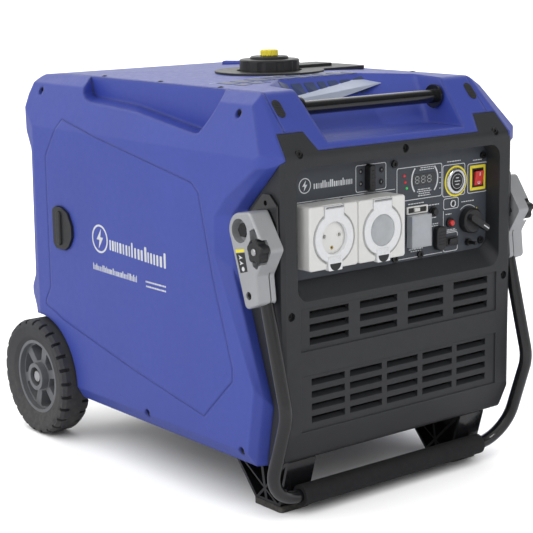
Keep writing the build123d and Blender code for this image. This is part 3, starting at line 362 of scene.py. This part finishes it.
def piece(name, solid, look, body="housing"):
    """Makes the solid an object that moves with a body."""
    bmesh.ops.recalc_face_normals(solid.bm, faces=solid.bm.faces)
    for face in solid.bm.faces:
        face.smooth = True
    for edge in solid.bm.edges:
        edge.smooth = edge.calc_face_angle(0.0) < SHARP
    mesh = bpy.data.meshes.new(name)
    solid.bm.to_mesh(mesh)
    solid.bm.free()
    mesh.materials.append(MAT[look])
    made = bpy.data.objects.new(name, mesh)
    bpy.context.scene.collection.objects.link(made)
    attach(made, body)


def on_front(depth):
    """Places u as x and v as height on a plane facing the operator."""
    return lambda u, v, w: at(u, depth - w, v)


def on_side(x):
    """Places u as depth and v as height on a side; w points away from the middle of the machine."""
    return lambda u, v, w: at(x + (w if x > 0 else -w), u, v)


SLOPE_AT = (59.5, 655)                         # depth and height of a point on the leaning front
SLOPE_ALONG = Vector((81, 94)).normalized()


def on_slope(x):
    """Places u as x and v up the leaning front."""
    def place(u, v, w):
        d = SLOPE_AT[0] + v * SLOPE_ALONG.x - w * SLOPE_ALONG.y
        z = SLOPE_AT[1] + v * SLOPE_ALONG.y + w * SLOPE_ALONG.x
        return at(x + u, d, z)
    return place


REAR_INSIDE = 701
ABOVE_TOP = 900                                # a height clear of the whole machine
TOP_FALLBACK = 680                             # height used beyond the top cover's edge


def on_top(u, v, w):
    """Places u as x and v as depth on the crowned top cover, whose surface is found straight below."""
    above = at(u, v, ABOVE_TOP)
    found, spot, _, _ = NODES["top_cover"].ray_cast(above, Vector((0, 0, -1)))
    height = spot.z if found else above.z - (ABOVE_TOP - TOP_FALLBACK) * MM
    return Vector((above.x, above.y, height + w * MM))


def on_rear(u, v, w):
    """Places u as x and v as height inside the rear cover; w points backwards."""
    return at(u, REAR_INSIDE + w, v)


# ---------------------------------------------------------------- printed panel
LINE = 1.1
SUNK = -0.05                                   # a mark starts this far inside the surface it lies on
PRINT = (SUNK, 0.22)                          # bottom and top of a printed line above its surface
START = (148.8, 508.6)
SMALL_BEZEL = (141, 471)
RESET = (134.5, 439)
OVERLOAD = (94.5, 462.5)
DIAL = (179, 438.5)
DISPLAY_BASE = 514
PORT, DC_SOCKET = (-51.5, 535), (107.5, 416)
ROUND_PIN_X, FLAT_PIN_X, OUTLET_HEIGHT = -160, -58, 455
FLAP_FACE, SOCKET_FACE = -15, -5.5             # depths of the closed flap's face and of the socket under it
PANEL_BOXES = [(12, 487, 116, 543), (117.5, 483.5, 171, 538), (177, 483.5, 225, 535), (120, 462, 156, 481),
               (120, 389, 154.5, 422), (-78, 512.5, -11.5, 556.5)]
PANEL_LINES = [(120, 424, 152, 424), (120, 424, 120, 460), (5, 390, 118, 390), (-203, 509.5, 8, 509.5)]
PANEL_DASHES = [(-168, 509.5, -136), (-62, 509.5, -32), (60, 503, 89), (58, 499.5, 91), (62, 496, 87),
                (60, 492.5, 89), (66, 539, 96), (64, 535.5, 98), (125, 453.6, 139), (94.6, 441, 107.9),
                (92, 437.5, 110), (128, 543, 160), (190, 540, 212), (125, 426.5, 148), (82, 474, 110),
                (40, 403.5, 72), (44, 400, 68), (84, 452, 104), (163, 471, 194), (38, 480.5, 76)]
DASH = 1.5


def add_panel_print():
    """Boxes, lines, plain strips, emblem and bars printed on the control panel."""
    lines = Solid(on_front(PANEL_DEPTH))
    for u0, v0, u1, v1 in PANEL_BOXES:
        lines.box_line(u0, v0, u1, v1, 4, LINE, *PRINT)
    for u0, v0, u1, v1 in PANEL_LINES:
        lines.slab(stroke(u0, v0, u1, v1, LINE), *PRINT)
    for number, (u0, v, u1) in enumerate(PANEL_DASHES):
        for part in split_dash(u0, u1, number):
            lines.slab(box_outline(part[0], v - DASH / 2, part[1], v + DASH / 2, 0.3, 2), *PRINT)
    for start, end in ((138, 219), (-43, 42)):
        lines.slab(arc_band(76, 519.3, 28.6, 31.4, start, end), *PRINT)
    for v in (527, 518.6, 509.6, 500.5):
        lines.slab(stroke(109.5, v, 113.5, v, LINE), *PRINT)
    lines.slab(arc_band(178.5, 437.5, 26.4, 27.6, 50, 132), *PRINT)
    lines.slab(stroke(203, 447.8, 207, 450, LINE), *PRINT)
    add_emblem(lines, -184, 535, 12.3, 1.5, PRINT)
    add_word(lines, -166, -83, 528, 540, 5, PRINT)
    piece("panel_print", lines, "print")


DASH_GAP = 1.1
SHORTEST_DASH = 1.5


def split_dash(start, end, seed):
    """Breaks a printed strip into a few short bars."""
    rng = random.Random(seed)
    parts = []
    while start < end - SHORTEST_DASH:
        length = min(rng.uniform(2.5, 6.5), end - start)
        parts.append((start, start + length))
        start += length + DASH_GAP
    return parts


def add_emblem(solid, u, v, radius, width, lift, step=1):
    """Ring with a lightning bolt in it; step is -1 where u runs from right to left."""
    solid.hollow(circle(u, v, radius, 48), circle(u, v, radius - width, 48), *lift)
    bolt = [(0.18, 0.72), (-0.42, -0.08), (-0.06, -0.08), (-0.18, -0.72), (0.42, 0.12), (0.06, 0.12)]
    solid.slab([(u + step * radius * a, v + radius * b) for a, b in bolt], *lift)


def add_word(solid, start, end, low, high, seed, lift, slant=0.0):
    """Row of plain upright bars where a name would be printed."""
    rng = random.Random(seed)
    height = high - low
    step = 1 if end > start else -1
    u = start
    while (end - u) * step > 0.2 * height:
        thick = height * rng.uniform(0.14, 0.26)
        tall = height if rng.random() < 0.3 else 0.72 * height
        base = low + slant * (u - start)
        edges = sorted((u, u + step * thick))
        solid.slab(box_outline(edges[0], base, edges[1], base + tall, 0.06 * height, 2), *lift)
        u += step * (thick + height * rng.uniform(0.10, 0.20))


DIGIT = (8.0, 11.0)                            # width and height of one digit of the display
CORNER_X, CORNER_Z = 1.2, 0.9                  # how far its segments stop short of a corner
LAMPS = (("lamp_red", (28.7, 529.2), "lamp_red"), ("lamp_amber", (31.1, 518.5), "lamp_red"),
         ("lamp_green", (34.3, 508.2), "lamp_green"))


def digit_segments():
    """The seven bars of a digit, from its lower left corner."""
    width, height = DIGIT
    middle = height / 2
    across = [(CORNER_X, v, width - CORNER_X, v) for v in (0, middle, height)]
    upright = [(u, low + CORNER_Z, u, low + middle - CORNER_Z) for low in (0, middle) for u in (0, width)]
    return across + upright


def add_display():
    """Display window with its digits, and the three lamps beside it."""
    window = Solid(on_front(PANEL_DEPTH))
    window.slab(box_outline(49, 510, 100, 529, 2), SUNK, 0.5, 0.2)
    piece("display_window", window, "glass")
    digits = Solid(on_front(PANEL_DEPTH - 0.5))
    for left in (54, 68, 82):
        for u0, v0, u1, v1 in digit_segments():
            bar = stroke(left + u0, DISPLAY_BASE + v0, left + u1, DISPLAY_BASE + v1, 1.6)
            digits.slab(bar, -0.02, 0.15, 0.05)
    piece("display_digits", digits, "digit")
    for name, (u, v), look in LAMPS:
        lamp = Solid(on_front(PANEL_DEPTH))
        lamp.skin([lifted(circle(u, v, r, 20), w)
                   for r, w in ((2.2, -0.5), (2.2, 0.8), (1.7, 1.5), (0.8, 1.8))])
        piece(name, lamp, look)


def add_controls():
    """Bezels and collars round the controls, and the marks on them."""
    ring = Solid(on_front(PANEL_DEPTH))
    ring.turned(*START, [(26.5, SUNK), (26.5, 0.35), (23.4, 0.35), (23.4, SUNK)], 56)
    ring.box_line(183, 488, 220.5, 531, 1.5, 5.2, SUNK, 0.35)
    ring.slab(stroke(197.2, 454.2, 200.8, 457.4, 2.2), SUNK, 0.3)
    piece("yellow_marks", ring, "yellow")
    chrome = Solid(on_front(PANEL_DEPTH))
    chrome.turned(*START, [(22.8, SUNK), (22.8, 1.6), (21.6, 3.4), (19.6, 4.2), (17.2, 4.2), (16.0, 3.2),
                           (15.9, SUNK)], 56)
    chrome.turned(*SMALL_BEZEL, [(6.6, SUNK), (6.6, 2.2), (5.9, 3.0), (4.6, 3.0), (4.0, 2.2),
                                 (4.0, SUNK)], 32)
    piece("chrome_bezels", chrome, "chrome")
    dark = Solid(on_front(PANEL_DEPTH))
    dark.box_line(188.2, 493.2, 215.3, 525.8, 1.0, 3.2, SUNK, 0.8)
    dark.box_line(127.3, 398.5, 154.0, 414.5, 1.5, 3.2, SUNK, 1.6)
    dark.turned(*RESET, [(8.6, SUNK), (8.6, 3.6), (7.8, 4.6), (6.6, 4.6), (5.6, 3.8), (5.6, SUNK)], 32)
    dark.slab(circle(*SMALL_BEZEL, 3.9, 24), SUNK, 1.2, 0.3)
    knurled = [(OVERLOAD[0] + r * cos(a), OVERLOAD[1] + r * sin(a)) for a, r in
               ((2 * pi * k / 48, 9.0 if k % 2 else 8.2) for k in range(48))]
    dark.hollow(knurled, circle(*OVERLOAD, 6.6, 48), SUNK, 3.4)
    piece("control_collars", dark, "trim")
    start_marks = Solid(on_front(26))
    start_marks.turned(*START, [(12.6, SUNK), (12.6, 0.2), (12.0, 0.2), (12.0, SUNK)], 40)
    for v, half in ((514.5, 3.5), (509.0, 6.5), (503.5, 4.5)):
        start_marks.slab(box_outline(START[0] - half, v - 0.7, START[0] + half, v + 0.7, 0.4, 2), SUNK, 0.2)
    piece("start_marks", start_marks, "print", "start_button")
    pointer = Solid(on_front(3))
    turn = radians(-31)
    tip, heel = [(DIAL[0] + r * cos(turn), DIAL[1] + r * sin(turn)) for r in (28.5, 14)]
    pointer.slab(stroke(*heel, *tip, 2.0), SUNK, 0.25)
    piece("dial_pointer", pointer, "print", "mode_dial")
    rocker = Solid(on_front(24.2))
    rocker.slab(stroke(202, 513, 202, 519, 1.6), -1.0, 0.1)
    rocker.turned(202, 501.5, [(3.2, -3.6), (3.2, -2.5), (2.0, -2.5), (2.0, -3.6)], 24)
    piece("rocker_marks", rocker, "print", "engine_switch")


def add_breaker_marks():
    """Label and marks on the breaker's face, and the small frame above it."""
    label = Solid(on_front(20))
    label.slab(box_outline(46.5, 426, 73.5, 442, 1), SUNK, 0.2)
    piece("breaker_label", label, "print")
    marks = Solid(on_front(19.8))
    for v in (438.5, 434.5, 430.5):
        for part in split_dash(49, 71, int(v)):
            marks.slab(box_outline(part[0], v - 0.8, part[1], v + 0.8, 0.3, 2), SUNK, 0.12, 0.04)
    piece("breaker_marks", marks, "button_blue")
    frame_piece = Solid(on_front(PANEL_DEPTH))
    frame_piece.box_line(33.7, 463.6, 80.5, 476.7, 1.5, 2.2, SUNK, 3.0)
    frame_piece.slab(box_outline(50, 467.2, 62, 473.4, 1), SUNK, 4.2, 0.5)
    piece("breaker_frame", frame_piece, "white")
    dark = Solid(on_front(PANEL_DEPTH))
    dark.slab(box_outline(35.6, 465.4, 78.6, 475, 0.8), SUNK, 0.9, 0.2)
    piece("breaker_frame_back", dark, "trim")


# Terminals beside the data port: rim height, crown radius, crown height and pin height.
LOW_TERMINAL = (0.15, 4.3, 0.3, 0.25)          # low enough for the opened port cap to lie over it
TALL_TERMINAL = (1.4, 3.8, 2.2, 1.0)
TERMINALS = [(-66.8, 545.9, LOW_TERMINAL), (-66.9, 526, LOW_TERMINAL), (-21.8, 544.9, TALL_TERMINAL),
             (-22.6, 525.4, TALL_TERMINAL)]


def add_port_and_caps():
    """Terminals beside the data port, and the grip ribs of the two socket caps."""
    trim = Solid(on_front(PANEL_DEPTH))
    for u, v, (rim, crown, top, _) in TERMINALS:
        trim.turned(u, v, [(4.6, SUNK), (4.6, rim), (crown, top), (1.8, top), (1.8, SUNK)], 24)
    piece("port_terminals", trim, "trim")
    pins = Solid(on_front(PANEL_DEPTH))
    for u, v, (_, _, _, tall) in TERMINALS:
        pins.slab(circle(u, v, 1.75, 16), SUNK, tall, 0.3 * tall)
    piece("port_terminal_pins", pins, "steel")
    for name, body, spot, half, face in (("port_cap_grip", "port_cap", PORT, (3.2, 15), 16),
                                         ("dc_cap_grip", "dc_socket_cap", DC_SOCKET, (7.5, 13), 19)):
        grip = Solid(on_front(face))
        for k in range(5):
            v = spot[1] + half[1] * (k - 2) / 2.5
            rib = box_outline(spot[0] - half[0], v - 1.1, spot[0] + half[0], v + 1.1, 0.9, 3)
            grip.slab(rib, -0.3, 0.7, 0.3)
        piece(name, grip, "trim", body)


# ---------------------------------------------------------------- outlets
def add_outlet_parts():
    """Flap ribs, a black half-disc painted as the shade of each flap's finger gap, hinge pins, the flap
    window, the socket rims and the contacts.
    """
    for name, body, x in (("round_pin", "flap_round_pin", ROUND_PIN_X),
                          ("flat_pin", "flap_flat_pin", FLAT_PIN_X)):
        ribs = Solid(on_front(FLAP_FACE))
        for v in (424.0, 421.0, 418.0):
            ribs.slab(box_outline(x - 11, v - 0.9, x + 11, v + 0.9, 0.8, 3), -0.2, 0.8, 0.3)
        piece(f"flap_ribs_{name}", ribs, "flap", body)
        # Painted shade: a flat black half-disc under the ribbed tab stands for the shadowed finger gap
        # beneath the flap.
        painted_gap_shade = Solid(on_front(FLAP_FACE))
        painted_gap_shade.slab(circle(x, 415.2, 11.5, 20, 180, 360), -0.1, 0.12, 0.05)
        piece(f"flap_painted_gap_shade_{name}", painted_gap_shade, "trim", body)
        hinge = Solid(on_side(x - 18))
        hinge.turned(-13.2, 503.5, [(1.6, 0), (1.6, -36), (0.8, -36), (0.8, 0)], 16)
        piece(f"flap_pin_{name}", hinge, "steel", body)
    window = Solid(on_front(-10))
    window.skin([lifted(circle(FLAT_PIN_X, OUTLET_HEIGHT, r, 48), w)
                 for r, w in ((25.8, 0), (25.8, 1.4), (24.6, 2.2), (12, 2.7))])
    piece("flap_window", window, "clear", "flap_flat_pin")
    face = Solid(on_front(SOCKET_FACE))
    face.turned(ROUND_PIN_X, OUTLET_HEIGHT, [(25.0, SUNK), (25.0, 0.8), (23.4, 0.8), (23.4, SUNK)], 48)
    for u in (-15.5, 15.5):
        face.turned(ROUND_PIN_X + u, OUTLET_HEIGHT + 3,
                    [(5.0, SUNK), (5.0, 0.6), (3.4, 0.6), (3.4, SUNK)], 24)
    piece("round_pin_rims", face, "white")
    earth = Solid(on_front(SOCKET_FACE))
    earth.turned(ROUND_PIN_X, OUTLET_HEIGHT - 16, [(3.1, -3.0), (3.1, 0.2), (1.7, 0.2), (1.7, -3.0)], 24)
    earth.turned(FLAT_PIN_X, OUTLET_HEIGHT, [(23.9, -9.4), (23.9, -8.9), (22.6, -8.9), (22.6, -9.4)], 48)
    piece("outlet_contacts", earth, "brass")


# ---------------------------------------------------------------- housing details
SCREEN_PITCH, WIRE = 12.0, 2.4


def add_screens_and_vent_shade():
    """Dark mesh of crossed flat wires behind the louvres and the air slots, laid on a solid black sheet that
    is painted shade for the dark inside of the vents.
    """
    for name, place, span in (("louvre_screen", on_front(22), (-214, 143, 214, 344)),
                              ("side_screen", on_side(275), (300, 262, 560, 462)),
                              ("rear_screen", on_rear, (-180, 340, 62, 526))):
        u0, v0, u1, v1 = span
        screen = Solid(place)
        # Painted shade: this solid black backing sheet stands for the darkness inside the vent, behind the
        # wire mesh.
        screen.slab(box_outline(u0, v0, u1, v1, 2), -1.2, 0, 0.1)
        for k in range(1, int((u1 - u0) / SCREEN_PITCH)):
            u = u0 + k * SCREEN_PITCH
            screen.slab(stroke(u, v0 + 1, u, v1 - 1, WIRE), -0.1, 0.9, 0.3)
        for k in range(1, int((v1 - v0) / SCREEN_PITCH)):
            v = v0 + k * SCREEN_PITCH
            screen.slab(stroke(u0 + 1, v, u1 - 1, v, WIRE), -0.1, 1.3, 0.3)
        piece(name, screen, "screen")


def add_slope_caps():
    """Ribbed oval caps on the leaning front, one at each side."""
    for name, x in (("slope_cap_left", -211), ("slope_cap_right", 211)):
        cap = Solid(on_slope(x))
        outline = circle(0, 8.5, 8.5, 12, 0, 180) + circle(0, -8.5, 8.5, 12, 180, 360)
        cap.slab(outline, -0.3, 1.3, 0.6)
        for k in range(-4, 5):
            reach = 7.4 * cos(0.19 * k)
            cap.slab(stroke(-reach, 3.2 * k, reach, 3.2 * k, 1.0), 1.0, 1.8, 0.3)
        piece(name, cap, "trim")


def add_top_parts():
    """Screws, label and rib on the top cover."""
    screws = Solid(on_top)
    for sign in (-1, 1):
        for d in (204, 375, 552):
            screws.slab(circle(sign * 214, d, 5.0, 20), -0.6, 1.0, 0.4)
            screws.slab(circle(sign * 214, d, 2.4, 6), 0.9, 1.5, 0.2)
    piece("top_screws", screws, "bolt")
    strip = Solid(on_top)
    strip.slab([(-190, 176), (-90, 176), (0, 176), (112, 176), (96, 232), (96, 262), (0, 262), (-90, 262),
                (-196, 262)], -0.6, 0.35, 0.1)
    piece("top_label", strip, "label")
    blocks = Solid(on_top)
    rng = random.Random(11)
    u = -186.0
    while u < 84:
        width = rng.uniform(14, 30)
        for v0, v1 in ((182, 206), (214, 254)):
            blocks.slab(box_outline(u, v0, min(u + width, 92), v1, 2), -0.4, 0.6, 0.1)
        u += width + 6
    piece("top_label_blocks", blocks, "label_dark")
    rib = Solid(on_top)
    rib.slab(stroke(90, 600, 172, 474, 20), -1.0, 7.0, 2.5)
    piece("top_rib", rib, "blue")


DOOR_FACE = -283


def add_door_marks():
    """Raised emblem and plain bars on the service door."""
    marks = Solid(on_side(DOOR_FACE))
    add_emblem(marks, 477, 403, 25.5, 3.6, PRINT, -1)
    add_word(marks, 446, 274, 387, 413, 3, PRINT, 0.045)
    piece("door_emblem", marks, "print", "service_door")
    small = Solid(on_side(DOOR_FACE))
    add_word(small, 502, 362, 345, 357, 7, PRINT, 0.02)
    for row in range(2):
        for part in split_dash(276, 336, 40 + row):
            small.slab(box_outline(part[0], 339 + 8 * row, part[1], 342 + 8 * row, 0.6, 2), *PRINT)
    piece("door_marks", small, "print", "service_door")


BRACKET_STRIP = [(61.2, 444.6), (39.7, 448.4), (38.9, 443.7), (60.4, 439.4)]
BRACKET_PANEL = [(60.3, 438.6), (38.7, 442.9), (31.7, 414.0), (49.8, 409.1)]
BRACKET_FACE = 298
KNOB = (9, 448)


def add_handle_parts():
    """Knob studs, and the strip, panel and arrows on each bracket."""
    for sign, side_name in ((-1, "left"), (1, "right")):
        stud = Solid(on_side(sign * 303))
        stud.skin([lifted(circle(*KNOB, r, 24), w)
                   for r, w in ((5.4, -0.2), (5.4, 1.2), (4.2, 1.9), (2.0, 2.1))])
        piece(f"knob_cap_{side_name}", stud, "steel", f"lock_knob_{side_name}")
        strip = Solid(on_side(sign * BRACKET_FACE))
        strip.slab(BRACKET_STRIP, SUNK, 0.25)
        piece(f"bracket_strip_{side_name}", strip, "yellow", "handle")
        panel = Solid(on_side(sign * BRACKET_FACE))
        panel.slab(BRACKET_PANEL, SUNK, 0.25)
        piece(f"bracket_panel_{side_name}", panel, "trim", "handle")
        arrows = Solid(on_side(sign * (BRACKET_FACE + 0.2)))
        for d, z in ((49, 434), (47, 425.5)):
            arrows.slab([(d + 5, z + 3), (d - 5.5, z), (d + 4, z - 4), (d + 1.5, z - 0.5)], SUNK, 0.2)
        arrows.slab(circle(42.5, 416.5, 3.6, 16), SUNK, 0.2)
        piece(f"bracket_arrows_{side_name}", arrows, "print", "handle")


add_panel_print()
add_display()
add_controls()
add_breaker_marks()
add_port_and_caps()
add_outlet_parts()
add_screens_and_vent_shade()
add_slope_caps()
add_top_parts()
add_door_marks()
add_handle_parts()


# ---------------------------------------------------------------- camera, light and floor
CAMERA_AT = Vector((-1.6988, -2.1759, 0.8900))
YAW, PITCH, ROLL = 38.25, 11.51, -0.88
FOCAL_SHARE = 1533 / 533          # focal length over the picture's width


SENSOR = 36


def add_camera():
    """Camera at the operator's left, a little above the machine."""
    yaw, pitch, roll = radians(YAW), radians(PITCH), radians(ROLL)
    forward = Vector((sin(yaw) * cos(pitch), cos(yaw) * cos(pitch), -sin(pitch)))
    right = Vector((cos(yaw), -sin(yaw), 0))
    up = right.cross(forward)
    turned_right = cos(roll) * right + sin(roll) * up
    turned_up = -sin(roll) * right + cos(roll) * up
    camera = bpy.data.objects.new("camera", bpy.data.cameras.new("camera"))
    bpy.context.scene.collection.objects.link(camera)
    camera.matrix_world = Matrix((
        (turned_right.x, turned_up.x, -forward.x, CAMERA_AT.x),
        (turned_right.y, turned_up.y, -forward.y, CAMERA_AT.y),
        (turned_right.z, turned_up.z, -forward.z, CAMERA_AT.z),
        (0, 0, 0, 1)))
    camera.data.sensor_width = SENSOR
    camera.data.lens = SENSOR * FOCAL_SHARE
    bpy.context.scene.camera = camera


def add_area(name, place, target, size, power):
    """White soft box at a place, facing a target."""
    light = bpy.data.lights.new(name, "AREA")
    light.shape = "RECTANGLE"
    light.size, light.size_y = size
    light.energy = power
    lamp = bpy.data.objects.new(name, light)
    bpy.context.scene.collection.objects.link(lamp)
    lamp.location = place
    lamp.rotation_euler = (Vector(target) - Vector(place)).to_track_quat("-Z", "Y").to_euler()


FLOOR_SUN = 3.2
FLOOR_FLAT = 5                                 # metres from the middle to where the floor starts to curl up
FLOOR_BELOW = 0.0005                           # keeps the floor just clear of the feet


def add_floor():
    """Wide pale floor whose rim curls up, so it has no edge in view. A sun of its own lights it evenly."""
    bm = bmesh.new()
    rings, steps = 14, 48
    rows = []
    for ring in range(rings):
        radius = 0.6 * ring + 0.02
        lift = 0.0 if radius < FLOOR_FLAT else 0.25 * (radius - FLOOR_FLAT) ** 2
        rows.append([bm.verts.new((radius * cos(2 * pi * k / steps), radius * sin(2 * pi * k / steps), lift))
                     for k in range(steps)])
    for inner, outer in zip(rows, rows[1:]):
        for k in range(steps):
            bm.faces.new((inner[k], outer[k], outer[(k + 1) % steps], inner[(k + 1) % steps]))
    bm.faces.new(rows[0])
    mesh = bpy.data.meshes.new("floor")
    bm.to_mesh(mesh)
    floor = bpy.data.objects.new("floor", mesh)
    bpy.context.scene.collection.objects.link(floor)
    floor.location.z = -FLOOR_BELOW
    mat = bpy.data.materials.new("floor_pale")
    n = Nodes(mat)
    cloud = n.noise(n.add("TexCoord").outputs["Object"], 3.0)
    pale = n.mix(n.span(cloud, 0.3, 0.7, 0, 1), (0.93, 0.93, 0.93, 1), (0.95, 0.95, 0.95, 1))
    seen = n.add("LightPath").outputs["Is Camera Ray"]
    color = n.mix(seen, (0.42, 0.42, 0.43, 1), pale)
    shader = n.add("BsdfDiffuse", {"Color": color})
    n.add("OutputMaterial", {"Surface": shader.outputs[0]})
    mesh.materials.append(mat)
    for polygon in mesh.polygons:
        polygon.use_smooth = True
    sun = bpy.data.objects.new("floor_sun", bpy.data.lights.new("floor_sun", "SUN"))
    sun.data.energy = FLOOR_SUN
    sun.data.angle = radians(110)
    bpy.context.scene.collection.objects.link(sun)
    lit = bpy.data.collections.new("lit_by_floor_sun")
    lit.objects.link(floor)
    sun.light_linking.receiver_collection = lit


BRIGHT_SIDE = Vector((-0.85, 0.10, 0.45)).normalized()
BACK_SIDE = Vector((0.62, 0.78, 0.10)).normalized()     # towards what the top reflects to the camera
BACK_GLOW = 1.45
STUDIO_LOW, STUDIO_HIGH = 0.06, 1.05


def add_world():
    """White to the camera; to the object, a studio bright on the left and overhead, glowing at the back."""
    world = bpy.data.worlds.new("studio")
    bpy.context.scene.world = world
    n = Nodes(world)
    way = n.add("TexCoord").outputs["Generated"]
    towards, behind = [n.add("VectorMath", {0: way, 1: tuple(side)}, operation="DOT_PRODUCT").outputs["Value"]
                       for side in (BRIGHT_SIDE, BACK_SIDE)]
    level = n.span(towards, -0.45, 0.95, STUDIO_LOW, STUDIO_HIGH)
    level = n.math("ADD", level, n.span(behind, 0.45, 0.95, 0.0, BACK_GLOW))
    seen = n.add("LightPath").outputs["Is Camera Ray"]
    unseen = n.math("SUBTRACT", 1.0, seen)
    strength = n.math("ADD", seen, n.math("MULTIPLY", unseen, level))
    back = n.add("Background", {"Color": (1, 1, 1, 1), "Strength": strength})
    n.add("OutputWorld", {"Surface": back.outputs[0]})


add_camera()
add_world()
add_floor()
add_area("key", (-3.4, 0.4, 1.9), (0, 0, 0.35), (2.6, 2.2), 22)
add_area("front_fill", (0.6, -3.6, 2.4), (0, -0.3, 0.4), (1.2, 1.2), 26)

view = bpy.context.scene.view_settings
view.view_transform = "Standard"
view.look = "None"
